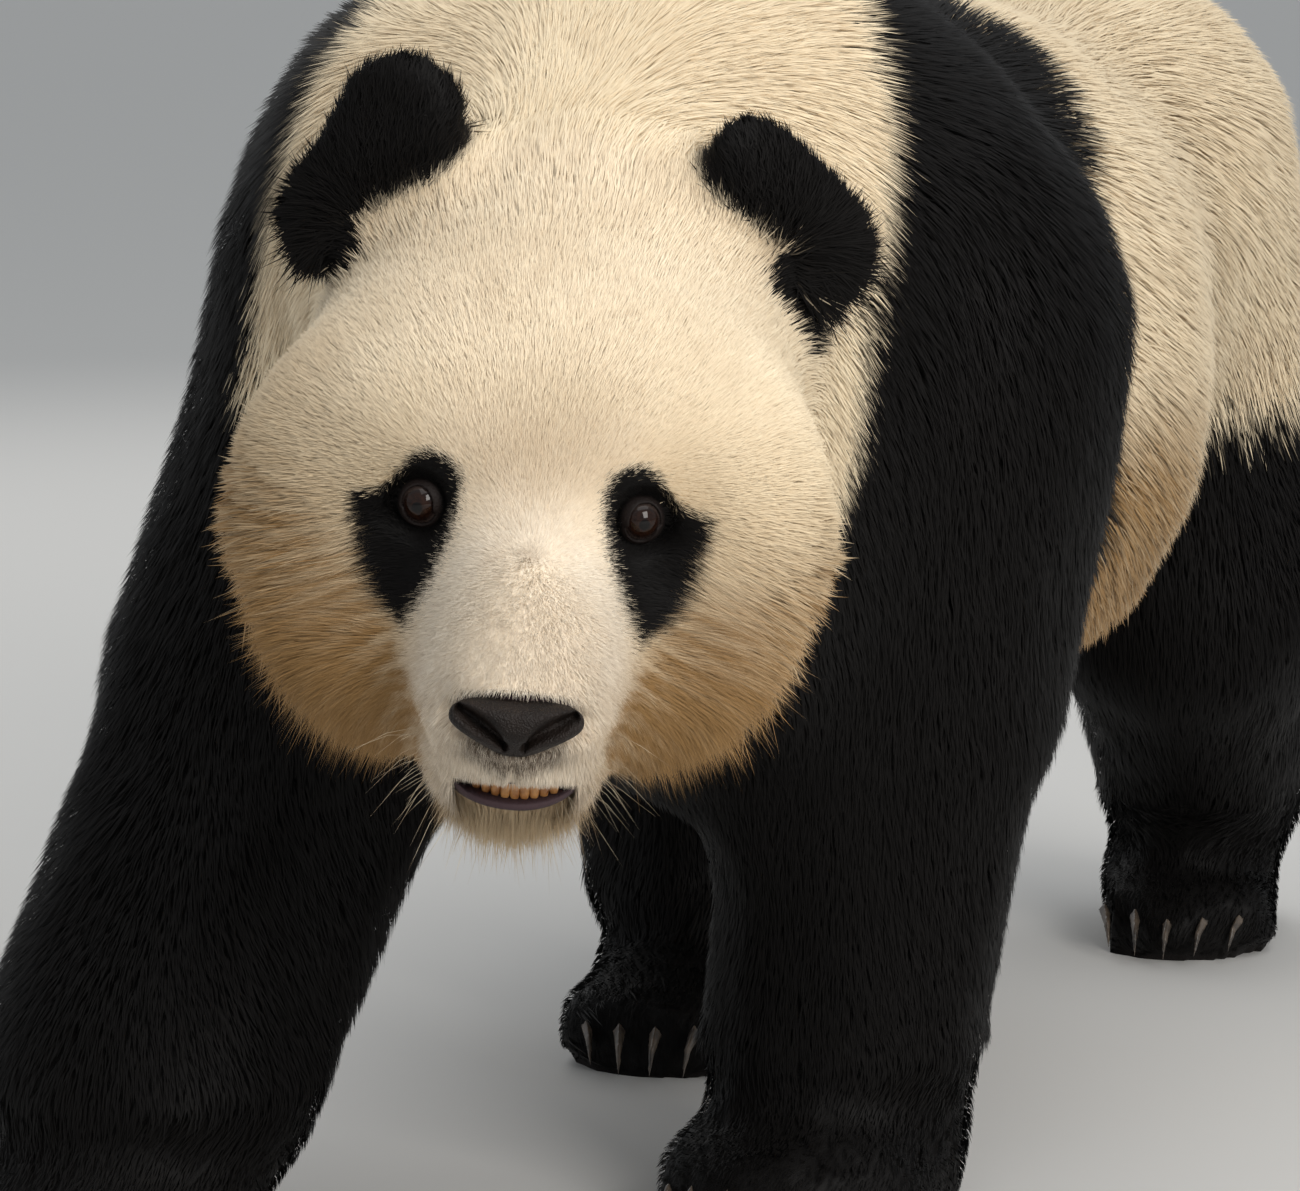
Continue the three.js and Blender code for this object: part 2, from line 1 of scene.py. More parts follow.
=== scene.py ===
import math

import bmesh
import bpy
import numpy as np
from mathutils import Matrix, Vector
from mathutils.bvhtree import BVHTree


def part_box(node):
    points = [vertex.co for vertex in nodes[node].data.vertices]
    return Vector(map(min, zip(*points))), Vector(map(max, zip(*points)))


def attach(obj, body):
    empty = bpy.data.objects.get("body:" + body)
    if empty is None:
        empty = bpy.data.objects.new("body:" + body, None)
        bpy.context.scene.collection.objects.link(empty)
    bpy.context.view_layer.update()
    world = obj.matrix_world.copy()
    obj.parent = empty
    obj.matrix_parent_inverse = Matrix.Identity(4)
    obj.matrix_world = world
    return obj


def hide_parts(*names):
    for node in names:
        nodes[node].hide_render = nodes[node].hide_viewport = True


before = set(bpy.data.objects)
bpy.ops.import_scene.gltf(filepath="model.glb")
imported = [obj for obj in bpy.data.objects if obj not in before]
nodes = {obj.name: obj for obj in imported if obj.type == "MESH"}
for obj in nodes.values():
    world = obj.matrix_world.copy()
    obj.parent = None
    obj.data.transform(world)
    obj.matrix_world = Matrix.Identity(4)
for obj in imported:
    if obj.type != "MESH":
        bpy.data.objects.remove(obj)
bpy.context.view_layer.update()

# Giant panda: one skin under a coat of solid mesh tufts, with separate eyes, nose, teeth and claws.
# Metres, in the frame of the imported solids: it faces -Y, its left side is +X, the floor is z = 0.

# ---- sizes ----

HEAD_YAW, HEAD_PITCH, HEAD_ROLL = math.radians(16), math.radians(12), math.radians(4.6)
EYE_DEPTH = 0.007         # the eyes' centres lie this far behind the head frame's origin
EYE_SPACING = 0.111
EYE_RADIUS = 0.0122
MUZZLE_REACH = 0.134      # from the eyes to the tip of the nose
WHORL = np.array([0.001, -0.047, -0.006])

SKIN_VOXEL = 0.007
FINE_GAP_FILL = 0.0015    # the solids' cuts are closed by growing each piece by this much
GAP_FILL = 0.009
SEED = 20

CAMERA_AZIMUTH, CAMERA_ELEVATION = math.radians(16), math.radians(8)
CAMERA_DISTANCE = 3.0
FRAME_WIDTH, FRAME_HEIGHT = 1300, 1191
FOCAL_PIXELS = 5841
EYES_AT_PIXEL = (531, 513)
SENSOR_WIDTH = 36

SIDES = (("left", 1), ("right", -1))
rng = np.random.default_rng(SEED)


# ---- small helpers ----

def ramp(low, high, x):
    """0 below low, 1 above high, smooth between; low may be the larger."""
    t = np.clip((x - low) / (high - low), 0, 1)
    return t * t * (3 - 2 * t)


def mix(a, b, share):
    return a + (b - a) * share


def bell(distance, width):
    """1 at no distance, falling to nothing at about two widths."""
    return np.exp(-(distance / width) ** 2)


def from_point(points, place):
    return np.linalg.norm(points - place, axis=1)


def unit(v):
    return v / np.maximum(np.linalg.norm(v, axis=-1, keepdims=True), 1e-9)


def flattened(v, normals):
    """The part of each direction that lies along the surface, as a unit vector."""
    return unit(v - normals * np.sum(v * normals, axis=1, keepdims=True))


def box_centre(node):
    low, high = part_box(node)
    return np.array((low + high) / 2)


HEAD_TURN = np.array(
    (Matrix.Rotation(HEAD_YAW, 3, "Z") @ Matrix.Rotation(HEAD_PITCH, 3, "X")
     @ Matrix.Rotation(HEAD_ROLL, 3, "Y")))
HEAD_ORIGIN = ((box_centre("eye_left") + box_centre("eye_right")) / 2
               - HEAD_TURN @ np.array([0, EYE_DEPTH, 0]))


def to_head(points):
    return (points - HEAD_ORIGIN) @ HEAD_TURN


def from_head(points):
    return np.asarray(points) @ HEAD_TURN.T + HEAD_ORIGIN


def placed(name, data):
    obj = bpy.data.objects.new(name, data)
    bpy.context.scene.collection.objects.link(obj)
    return obj


def folded(h):
    """Distance aside from the head's middle, and the two other coordinates, of points in its frame."""
    return np.abs(h[:, 0]), h[:, 1], h[:, 2]


def new_object(name, mesh, material, slot, *replaced):
    """A visible piece, which rides on the root and stands for the nodes it replaces."""
    mesh.materials.append(material)
    obj = placed(name, mesh)
    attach(obj, "root")
    if replaced:
        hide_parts(*replaced)
    return obj


def read_all(items, name, width, kind=np.int32):
    values = np.empty(len(items) * width, kind)
    items.foreach_get(name, values)
    return values.reshape(-1, width)


def coordinates(mesh):
    return read_all(mesh.vertices, "co", 3, np.float32).astype(float)


def set_coordinates(mesh, points):
    mesh.vertices.foreach_set("co", np.ascontiguousarray(points, np.float32).ravel())
    mesh.update()


def vertex_normals(mesh):
    return read_all(mesh.vertex_normals, "vector", 3, np.float32).astype(float)


def put_values(mesh, name, values):
    attribute = mesh.attributes.new(name, "FLOAT", "POINT")
    attribute.data.foreach_set("value", np.ascontiguousarray(values, np.float32))


def mesh_of(work, name):
    """The mesh of a bmesh, which is freed."""
    mesh = bpy.data.meshes.new(name)
    work.to_mesh(mesh)
    work.free()
    return mesh


def shade_smooth(mesh):
    mesh.polygons.foreach_set("use_smooth", np.ones(len(mesh.polygons), bool))


class Net:
    """The edges of a mesh, for spreading values between neighbours."""

    def __init__(self, mesh):
        pairs = read_all(mesh.edges, "vertices", 2)
        both = np.concatenate([pairs, pairs[:, ::-1]])
        both = both[np.argsort(both[:, 0], kind="stable")]
        self.counts = np.bincount(both[:, 0], minlength=len(mesh.vertices)).astype(float)
        self.starts = np.concatenate([[0], np.cumsum(self.counts)[:-1]]).astype(int)
        self.others = both[:, 1]

    def means(self, values):
        total = np.add.reduceat(values[self.others], self.starts, axis=0)
        return total / (self.counts[:, None] if values.ndim > 1 else self.counts)

    def relaxed(self, values, passes):
        for _ in range(passes):
            values = values + (self.means(values) - values) * 0.5
        return values

    def faired(self, points, passes, share):
        """Evens a surface out without shrinking it."""
        for _ in range(passes):
            points = points + (self.means(points) - points) * (0.6 * share)
            points = points - (self.means(points) - points) * (0.61 * share)
        return points


# ---- skin: a closed surface inside the solids ----

NODE_REGION = {
    "head": "head", "muzzle": "head", "jaw": "head", "nose": "head", "neck": "neck", "chest": "chest",
    "belly": "belly", "rump": "rump", "tail": "tail", "ear": "ear", "upper_arm": "shoulder",
    "forearm": "forearm", "forepaw": "paw", "thigh": "thigh", "shank": "shank", "hindfoot": "paw",
}
REGIONS = sorted(set(NODE_REGION.values()))
COARSE = ("neck", "chest", "belly", "rump", "shoulder", "forearm", "thigh", "shank")
COAT_DEPTH = {
    "ear": 0.0045, "neck": 0.016, "chest": 0.016, "belly": 0.017, "rump": 0.018, "tail": 0.014,
    "shoulder": 0.015, "forearm": 0.013, "paw": 0.006, "thigh": 0.016, "shank": 0.013}
OFFSET_STEPS = 4
FLESH = [n for n in sorted(nodes) if not n.startswith(("eye_", "foreclaw_", "hindclaw_", "nose"))]


def region_of(node):
    return NODE_REGION[node.replace("_left", "").replace("_right", "")]


def gap_fill(region):
    return FINE_GAP_FILL if region in ("head", "ear", "paw", "tail") else GAP_FILL


def shell_of(node, grow):
    """A node's surface as points and faces, with its shared corners joined, grown along its normals."""
    shell = bmesh.new()
    shell.from_mesh(nodes[node].data)
    bmesh.ops.remove_doubles(shell, verts=shell.verts, dist=1e-5)
    shell.normal_update()
    points = [v.co + v.normal * grow for v in shell.verts]
    faces = [[v.index for v in f.verts] for f in shell.faces]
    shell.free()
    return points, faces


def ball_of(centre, radii, detail=2):
    """An ellipsoid in the head's frame, as points and faces in the row's frame."""
    ball = bmesh.new()
    bmesh.ops.create_icosphere(ball, subdivisions=detail, radius=1)
    local = np.array([v.co for v in ball.verts]) * radii + centre
    faces = [[v.index for v in f.verts] for f in ball.faces]
    ball.free()
    return [Vector(p) for p in from_head(local)], faces


def gathered(shells):
    points, faces = [], []
    for shell_points, shell_faces in shells:
        start = len(points)
        points += shell_points
        faces += [[start + i for i in face] for face in shell_faces]
    return points, faces


def joined(name, shells):
    points, faces = gathered(shells)
    mesh = bpy.data.meshes.new(name)
    mesh.from_pydata(points, [], faces)
    return mesh


def remeshed(mesh, voxel):
    """The outer surface of a mesh of overlapping shells, in even quads."""
    obj = placed(mesh.name, mesh)
    remesh = obj.modifiers.new("even", "REMESH")
    remesh.mode = "VOXEL"
    remesh.voxel_size = voxel
    graph = bpy.context.evaluated_depsgraph_get()
    result = bpy.data.meshes.new_from_object(obj.evaluated_get(graph))
    bpy.data.objects.remove(obj)
    return result


def region_weights(net, points):
    """How much each point belongs to each region, from the nearest solid, with soft borders."""
    surfaces, owners = [], []
    for node in FLESH + ["nose"]:
        shell = shell_of(node, 0)
        surfaces.append(shell)
        owners += [REGIONS.index(region_of(node))] * len(shell[1])
    tree = BVHTree.FromPolygons(*gathered(surfaces))
    owner = [owners[tree.find_nearest(Vector(p))[2]] for p in points]
    weights = np.eye(len(REGIONS))[owner]
    return net.relaxed(weights, 8)


def weight(weights, *regions):
    return sum(weights[:, REGIONS.index(region)] for region in regions)


def jowl(h):
    """1 on the long ruff of the lower cheeks."""
    x, y, z = folded(h)
    inner = mix(0.058, 0.038, ramp(-0.065, -0.105, z))
    return ramp(0, 0.025, x - inner) * ramp(0.01, -0.045, z) * ramp(-0.045, -0.005, y)


def coat_depth(points, weights):
    """How far the coat's tips stand over the skin: least on the muzzle and feet, most on the trunk."""
    h = to_head(points)
    x, y, z = folded(h)
    on_face = mix(0.003, 0.01, ramp(-0.03, 0.05, y))
    cheek = ramp(0.085, 0.15, x) * ramp(0.05, -0.04, z)
    cheek = cheek + 0.8 * ramp(-0.06, -0.14, z) * ramp(-0.01, 0.06, y)
    on_head = on_face + 0.01 * np.clip(cheek, 0, 1.1) * ramp(-0.02, 0.06, y) + 0.005 * ramp(0.08, 0.16, y)
    depths = {"head": on_head, **COAT_DEPTH}
    depth = sum(weight(weights, region) * depths[region] for region in REGIONS)
    limbs = weight(weights, "forearm", "shank")
    depth = depth - 0.006 * limbs * ramp(0.24, 0.1, points[:, 2])
    depth = depth + 0.0025 * weight(weights, "paw") * ramp(0.06, 0.12, points[:, 2])
    level, along = mouth_opening(h)
    near_lips = bell(level, 3.2) * ramp(0, 0.3, along) * ramp(-0.05, -0.07, y)
    chin = bell(z + 0.142, 0.01) * bell(x, 0.045) * ramp(-0.03, -0.06, y)
    depth = depth * (1 - 0.6 * near_lips) + 0.004 * chin + 0.004 * jowl(h) * weight(weights, "head")
    return depth * ramp(0.0, 0.05, points[:, 2])


def refine(mesh, wanted):
    """Splits in four each face whose corners all satisfy wanted(points in the head's frame)."""
    inside = wanted(to_head(coordinates(mesh)))
    work = bmesh.new()
    work.from_mesh(mesh)
    faces = [f for f in work.faces if all(inside[v.index] for v in f.verts)]
    edges = list({e for f in faces for e in f.edges})
    bmesh.ops.subdivide_edges(work, edges=edges, cuts=1, use_grid_fill=True)
    work.to_mesh(mesh)
    work.free()
    mesh.update()


def near_eyes(h, reach):
    return from_point(np.stack(folded(h), axis=1), [EYE_SPACING / 2, -0.008, 0]) < reach


def face_zone(h):
    x, y, z = folded(h)
    return (y < 0.06) & (x < 0.115) & (z > -0.16) & (z < 0.08)


def fine_zone(h):
    x, y, _ = folded(h)
    return near_eyes(h, 0.045) | ((y < -0.045) & (x < 0.06))


def finest_zone(h):
    x, y, z = folded(h)
    return near_eyes(h, 0.026) | ((y < -0.06) & (x < 0.042) & (np.abs(z + 0.115) < 0.022))


EYE_TURN = math.radians(14)
EYE_OPENING = (0.0088, 0.0106)     # half width and half height between the lids
LID_REACH = 0.024
LID_RIM = 0.0066                   # the ring of skin that becomes the rim of the lids


def eye_axes(side):
    """Centre, sideways, up and outward directions of an eye, in the head's frame."""
    centre = np.array([side * EYE_SPACING / 2, EYE_DEPTH, 0])
    outward = np.array([side * math.sin(EYE_TURN), -math.cos(EYE_TURN), 0.0])
    up = np.array([0, 0, 1.0])
    return centre, np.cross(outward, up), up, outward


def open_lids(h):
    """Draws the skin round each eye into a rim over the eyeball and a pocket inside it."""
    for _, side in SIDES:
        centre, across, up, outward = eye_axes(side)
        q = h - centre
        u, v, w = q @ across, q @ up, q @ outward
        r = np.hypot(u, v)
        near = (r < LID_REACH) & (w > -0.02)
        u, v, w, r = u[near], v[near], w[near], np.maximum(r[near], 1e-6)
        c, s = u / r, v / r
        rim = 1 / np.sqrt((c / EYE_OPENING[0]) ** 2 + (s / EYE_OPENING[1]) ** 2)
        rim = rim * (1 - 0.1 * c * side * np.sign(s + 0.2))
        stretch = np.clip((r - LID_RIM) / (LID_REACH - LID_RIM), 0, 1)
        outside = rim + (LID_REACH - rim) * stretch
        inside = rim * np.clip(r / LID_RIM, 0, 1)
        away = np.where(r > LID_RIM, outside, inside)
        lid = np.sqrt(np.maximum((EYE_RADIUS + 0.0015) ** 2 - away ** 2, 0))
        lid += 0.0005 * bell(away - rim - 0.003, 0.002)
        height = mix(lid, w, ramp(0.01, LID_REACH - 0.002, away))
        height = mix(-0.001, height, ramp(LID_RIM * 0.8, LID_RIM * 1.0, r))
        moved = np.outer(away * c, across) + np.outer(away * s, up) + np.outer(height, outward)
        h[near] = centre + moved
    return h


MOUTH_HALF = 0.0325
MOUTH_X = 0.0022
MOUTH_Z = -0.1146
MOUTH_GAPE, CORNER_GAPE = 0.006, 0.0006


def half_gape(along):
    return MOUTH_GAPE * along + CORNER_GAPE


def mouth_opening(h):
    """Height over the mouth's middle line in half openings, and 1 at its middle to 0 at its corners."""
    along = np.sqrt(np.clip(1 - ((h[:, 0] - MOUTH_X) / MOUTH_HALF) ** 2, 0, 1))
    middle = MOUTH_Z + 0.003 * (1 - along)
    return (h[:, 2] - middle) / half_gape(along), along


def shape_mouth(h):
    """Opens the mouth in front, rolls the lower lip out and draws the groove under the nose."""
    x, y, z = h[:, 0], h[:, 1], h[:, 2]
    level, along = mouth_opening(h)
    front = ramp(-0.055, -0.075, y)
    opening = np.clip(1 - np.abs(level) ** 4, 0, 1) * ramp(0, 0.35, along) * front
    below = (level + 1) * half_gape(along)
    lower_lip = bell(below + 0.0034, 0.004) * along * front
    upper_lip = bell(level - 1.9, 0.9) * along * front
    groove = bell(x, 0.0016) * ramp(-0.108, -0.104, z) * ramp(-0.084, -0.09, z) * front
    under_pad = ramp(0.003, -0.003, oval(x, z, (0, -0.07), (0.033, 0.014))) * ramp(-0.092, -0.1, y)
    pushed_in = 0.024 * opening + 0.0018 * groove + 0.013 * under_pad
    h[:, 1] += pushed_in - 0.006 * lower_lip - 0.0022 * upper_lip
    return h


def shape_face(h):
    """Brows, the soft hollows between muzzle and cheeks, and a jaw narrower than the solids'."""
    x, y, z = folded(h)
    brow = bell(x - 0.05, 0.018) * bell(z - 0.026, 0.01) * ramp(0.05, 0.0, y)
    hollow = bell(x - 0.05, 0.012) * bell(z + 0.062, 0.028) * ramp(0.02, -0.02, y)
    h[:, 1] += 0.0022 * hollow - 0.002 * brow
    jaw_side = bell(x - 0.052, 0.012) * ramp(-0.075, -0.1, z) * ramp(0.0, -0.04, y)
    chin_side = bell(x - 0.047, 0.013) * ramp(-0.116, -0.13, z) * ramp(0.0, -0.04, y)
    h[:, 0] -= np.sign(h[:, 0]) * (0.006 * jaw_side + 0.007 * chin_side)
    return h


SOCKET_FILL = (0.016, 0.016, 0.016)
MOUTH_FILL = (0.036, 0.021, 0.01)
FAIR_PASSES, COARSE_PASSES = 30, 34


def make_skin():
    fillers = [ball_of((side * EYE_SPACING / 2, EYE_DEPTH, 0), SOCKET_FILL) for _, side in SIDES]
    fillers.append(ball_of((0, -0.084, MOUTH_Z), MOUTH_FILL))
    shells = [shell_of(n, gap_fill(region_of(n))) for n in FLESH + ["nose"]]
    mesh = remeshed(joined("skin", shells + fillers), SKIN_VOXEL)
    net = Net(mesh)
    points = coordinates(mesh)
    weights = region_weights(net, points)
    soles = points[:, 2] < 0.004
    kept = weight(weights, "ear") * 0.85 + weight(weights, "paw") * 0.5 + weight(weights, "head") * 0.25
    softness = np.clip(1 - kept, 0, 1)[:, None]
    points = net.faired(points, FAIR_PASSES, softness)
    coarse = np.clip(weight(weights, *COARSE) - 0.5, 0, 0.5)[:, None]
    for _ in range(COARSE_PASSES):
        points = points + (net.means(points) - points) * coarse
    set_coordinates(mesh, points)
    grown = sum(weight(weights, region) * gap_fill(region) for region in REGIONS)
    depth = net.relaxed(coat_depth(points, weights) + grown - 0.003 * weight(weights, *COARSE), 4)
    for _ in range(OFFSET_STEPS):
        points = points - vertex_normals(mesh) * (depth / OFFSET_STEPS)[:, None]
        points = net.faired(points, 3, softness)
        set_coordinates(mesh, points)
    points[soles, 2] = 0
    points[:, 2] = np.maximum(points[:, 2], 0)
    set_coordinates(mesh, points)
    for zone in (face_zone, fine_zone, finest_zone):
        refine(mesh, zone)
        net = Net(mesh)
        inside = zone(to_head(coordinates(mesh)))[:, None]
        smooth = net.faired(coordinates(mesh), 5, 1.0)
        set_coordinates(mesh, np.where(inside, smooth, coordinates(mesh)))
    h = to_head(coordinates(mesh))
    set_coordinates(mesh, from_head(open_lids(shape_mouth(shape_face(h)))))
    shade_smooth(mesh)
    return mesh


# ---- markings: formulas shared by the skin and the coat ----

BAND_FRONT = -0.398
BAND_CURVE, BAND_SKEW = 2.57, 0.164
BAND_REAR = -0.03
BAND_SPREAD = 0.19       # the band is wider over the back than on the flank
HIND_BLACK_TOP = 0.4
RIGHT_EDGE = 0.113        # the black over the right shoulder blade starts this far from the middle
RIGHT_EDGE_SLOPE = 0.3


def oval(u, v, centre, radii):
    """Distance from an oval's edge in metres, roughly, positive outside."""
    return (np.hypot((u - centre[0]) / radii[0], (v - centre[1]) / radii[1]) - 1) * min(radii)


EAR_TAILS = (
    (np.array([0.138, 0.186, 0.084]), np.array([0.15, 0.194, 0.042])),
    (np.array([-0.122, 0.182, 0.084]), np.array([-0.136, 0.184, 0.05])))


def from_ear_tail(h):
    """Distance outside the black lock that runs down the head from the outer end of each ear."""
    nearest = np.full(len(h), 1.0)
    for start, end in EAR_TAILS:
        share = np.clip((h - start) @ (end - start) / np.sum((end - start) ** 2), 0, 1)
        away = from_point(h, start + share[:, None] * (end - start))
        nearest = np.minimum(nearest, away - mix(0.024, 0.006, share))
    return nearest


def from_outline(u, v, corners):
    """Distance from a closed outline, positive outside."""
    nearest, inside = np.full(len(u), 1.0), np.zeros(len(u), bool)
    for (u0, v0), (u1, v1) in zip(corners, np.roll(corners, -1, axis=0)):
        du, dv = u1 - u0, v1 - v0
        share = np.clip(((u - u0) * du + (v - v0) * dv) / (du * du + dv * dv), 0, 1)
        nearest = np.minimum(nearest, np.hypot(u - u0 - share * du, v - v0 - share * dv))
        crossed = (v0 > v) != (v1 > v)
        inside ^= crossed & (u < u0 + (v - v0) * du / (dv if dv else 1))
    return np.where(inside, -nearest, nearest)


# The patch round the eye, from its top round the outer point and the lower end: aside and above, in mm.
EYE_PATCH = np.array([
    (56, 31), (64, 27), (69, 19), (74, 11), (82, 6), (95, 2), (95, -8), (92, -18), (90, -34), (84, -45),
    (74, -53), (62, -57), (54, -42), (47, -26), (41, -10), (38, 4), (37, 17), (41, 25), (48, 30)]) / 1000


def blackness(points, at, feather):
    """1 where the coat is black, 0 where it is cream; feather shifts each tuft's border."""
    h = to_head(points)
    near = (np.abs(h[:, 0]) < 0.12) & (np.abs(h[:, 2]) < 0.08) & (h[:, 1] < 0.055)
    patch = np.full(len(h), 1.0)
    patch[near] = from_outline(np.abs(h[near, 0]), h[near, 2], EYE_PATCH)
    eye_patch = ramp(0.0015, -0.0015, patch + feather * 0.0022)
    ear_tail = ramp(0.003, -0.003, from_ear_tail(h) + feather * 0.003)
    height = points[:, 2]
    front = BAND_FRONT + BAND_CURVE * np.maximum(height - 0.5, 0) ** 2 - BAND_SKEW * points[:, 0]
    front = front - 3.0 * np.maximum(0.43 - height, 0)
    rear = BAND_REAR + 0.05 * np.maximum(0.55 - height, 0) + BAND_SPREAD * ramp(0.48, 0.74, height)
    right_edge = RIGHT_EDGE + RIGHT_EDGE_SLOPE * (0.716 - height)
    over_right_leg = np.minimum(-points[:, 0] - right_edge, points[:, 1] + 0.45)
    behind_front = np.maximum(points[:, 1] - front, over_right_leg) + feather * 0.005
    before_rear = rear - points[:, 1] + feather * 0.008
    band = ramp(-0.008, 0.008, np.minimum(behind_front, before_rear))
    band = band * ramp(0.11, 0.14, h[:, 1])
    low = ramp(0.05, -0.045, height - HIND_BLACK_TOP + feather * 0.01)
    behind_neck = mix(1, ramp(-0.008, 0.008, behind_front), ramp(0.44, 0.52, height))
    legs = np.maximum(at["fore"] * ramp(0.35, 0.65, at["fore"]) * behind_neck, at["hind"] * low)
    shares = [eye_patch, ear_tail, band, ramp(0.35, 0.65, at["ears"]), ramp(0.2, 0.6, legs)]
    return np.clip(np.maximum.reduce(shares), 0, 1)


# ---- materials ----

def new_material(name, roughness, specular=0.5):
    material = bpy.data.materials.new(name)
    material.use_nodes = True
    tree = material.node_tree
    shader = tree.nodes["Principled BSDF"]
    shader.inputs["Roughness"].default_value = roughness
    shader.inputs["Specular IOR Level"].default_value = specular
    return material, tree, shader


def add_node(tree, kind, inputs=None, **settings):
    node = tree.nodes.new(kind)
    for key, value in settings.items():
        setattr(node, key, value)
    for key, value in (inputs or {}).items():
        if isinstance(value, bpy.types.NodeSocket):
            tree.links.new(value, node.inputs[key])
        else:
            node.inputs[key].default_value = value
    return node


def read(tree, name):
    return add_node(tree, "ShaderNodeAttribute", attribute_name=name).outputs["Fac"]


def blended(tree, share, a, b):
    """A colour between a and b; each is a colour or a socket."""
    node = add_node(tree, "ShaderNodeMix", data_type="RGBA")
    for socket, value in ((node.inputs[0], share), (node.inputs[6], a), (node.inputs[7], b)):
        if isinstance(value, bpy.types.NodeSocket):
            tree.links.new(value, socket)
        elif socket.type == "RGBA":
            socket.default_value = (*value, 1)
        else:
            socket.default_value = value
    return node.outputs[2]


def noise(tree, scale, detail=3.0):
    place = add_node(tree, "ShaderNodeTexCoord").outputs["Object"]
    inputs = {"Vector": place, "Scale": scale, "Detail": detail, "Roughness": 0.55}
    return add_node(tree, "ShaderNodeTexNoise", inputs).outputs["Fac"]


def stretched(tree, value, low, high):
    inputs = {"Value": value, "From Min": low, "From Max": high}
    return add_node(tree, "ShaderNodeMapRange", inputs).outputs["Result"]


def patches(tree, scale, low, high, detail=3.0):
    """Noise whose values from low to high run from 0 to 1."""
    return stretched(tree, noise(tree, scale, detail), low, high)


def add_bump(tree, shader, height, strength, distance):
    inputs = {"Height": height, "Strength": strength, "Distance": distance}
    bump = add_node(tree, "ShaderNodeBump", inputs)
    tree.links.new(bump.outputs["Normal"], shader.inputs["Normal"])


def mottled_material(name, scale, low, high, dark, light, roughness, specular=0.5):
    """A material whose colour wanders between dark and light."""
    material, tree, shader = new_material(name, roughness, specular)
    colour = blended(tree, patches(tree, scale, low, high), dark, light)
    tree.links.new(colour, shader.inputs["Base Color"])
    return material, tree, shader


CREAM_ROOT = (0.5, 0.34, 0.17)
CREAM_TIP = (0.87, 0.74, 0.53)
# The brown of stained hair. The same colour also paints the shade on the lower cheeks, the right temple and
# behind the elbow.
STAIN_AND_SHADE_ROOT = (0.11, 0.054, 0.018)
STAIN_AND_SHADE_TIP = (0.32, 0.185, 0.072)
PALE_ROOT = (0.84, 0.72, 0.56)
PALE_TIP = (0.98, 0.9, 0.77)
BLACK_ROOT = (0.002, 0.0016, 0.0015)
BLACK_TIP = (0.0049, 0.0042, 0.0039)
SOOT = (0.075, 0.048, 0.03)
BARE_LID = (0.0085, 0.0052, 0.0044)
BARE_LIP = (0.05, 0.03, 0.034)
SOLE = (0.02, 0.016, 0.015)


def coat_colour(tree):
    """Cream and black fur from the shared markings, lighter and cleaner towards the tips."""
    cream = blended(tree, read(tree, "tip"), CREAM_ROOT, CREAM_TIP)
    pale = blended(tree, read(tree, "tip"), PALE_ROOT, PALE_TIP)
    cream = blended(tree, read(tree, "pale"), cream, pale)
    # The stain colour is also used for painted shade.
    stain = blended(tree, read(tree, "tip"), STAIN_AND_SHADE_ROOT, STAIN_AND_SHADE_TIP)
    cream = blended(tree, read(tree, "stain"), cream, stain)
    patchy = patches(tree, 14.0, 0.35, 0.65)
    toned = add_node(tree, "ShaderNodeMath", {0: patchy, 1: 0.16}, operation="MULTIPLY").outputs[0]
    cream = blended(tree, toned, cream, CREAM_ROOT)
    cream = blended(tree, read(tree, "tone"), cream, stain)
    black = blended(tree, read(tree, "tip"), BLACK_ROOT, BLACK_TIP)
    return blended(tree, read(tree, "soot"), blended(tree, read(tree, "black"), cream, black), SOOT)


def coat_material():
    material, tree, shader = new_material("coat", 0.58, 0.1)
    tree.links.new(coat_colour(tree), shader.inputs["Base Color"])
    shader.inputs["Sheen Weight"].default_value = 0.02
    shader.inputs["Sheen Roughness"].default_value = 0.45
    return material


def skin_material():
    material, tree, shader = new_material("skin", 0.6, 0.16)
    colour = coat_colour(tree)
    colour = blended(tree, read(tree, "lid"), colour, BARE_LID)
    colour = blended(tree, read(tree, "lip"), colour, BARE_LIP)
    colour = blended(tree, read(tree, "sole"), colour, SOLE)
    tree.links.new(colour, shader.inputs["Base Color"])
    add_bump(tree, shader, noise(tree, 900.0, 2.0), 0.5, 0.0008)
    return material


# ---- coat ----

LIE_ON_LEG, LIE_ON_PAW = np.array([0, 0.18, -1]), np.array([0, -0.9, -0.55])


def lie_of_coat(points, normals, weights):
    """Which way the hair lies: out from the whorl on the face, backward on the trunk, down the legs."""
    h = to_head(points)
    x, y, z = folded(h)
    radial = h - WHORL
    radial[:, 1] += 0.06 * ramp(0.022, 0.045, x) * ramp(-0.03, -0.08, z)
    radial[:, 2] -= 0.05 * ramp(0.03, 0.12, x) * ramp(0.05, -0.03, z)
    hanging = ramp(-0.118, -0.126, z) * ramp(0.052, 0.04, x) * ramp(-0.02, -0.05, y)
    down = h[:, :1] * [6, 0, 0] + [0, -0.25, -1]
    radial = mix(unit(radial), unit(down), hanging[:, None])
    on_head = radial @ HEAD_TURN.T
    side, steep = np.abs(normals[:, 0]), np.abs(normals[:, 1])
    on_trunk = np.stack([0 * side, 1 - 0.8 * steep, -0.1 - 0.55 * side - 1.2 * steep], axis=1)
    on_ear = np.zeros_like(points)
    for name, _ in SIDES:
        root = box_centre(f"ear_{name}") - [0, 0, 0.055]
        near = from_point(points, root) < 0.14
        on_ear[near] = (points - root)[near]
    for start, end in EAR_TAILS:
        near = bell(from_point(h, start), 0.022)[:, None]
        on_ear = mix(unit(on_ear), unit((end - start) @ HEAD_TURN.T), near)
    ways = (
        (on_head, "head"), (on_trunk, "neck", "chest", "belly", "rump"),
        (LIE_ON_LEG, "shoulder", "forearm", "thigh", "shank", "tail"), (LIE_ON_PAW, "paw"), (on_ear, "ear"))
    lie = sum(unit(way) * weight(weights, *regions)[:, None] for way, *regions in ways)
    return flattened(lie, normals)


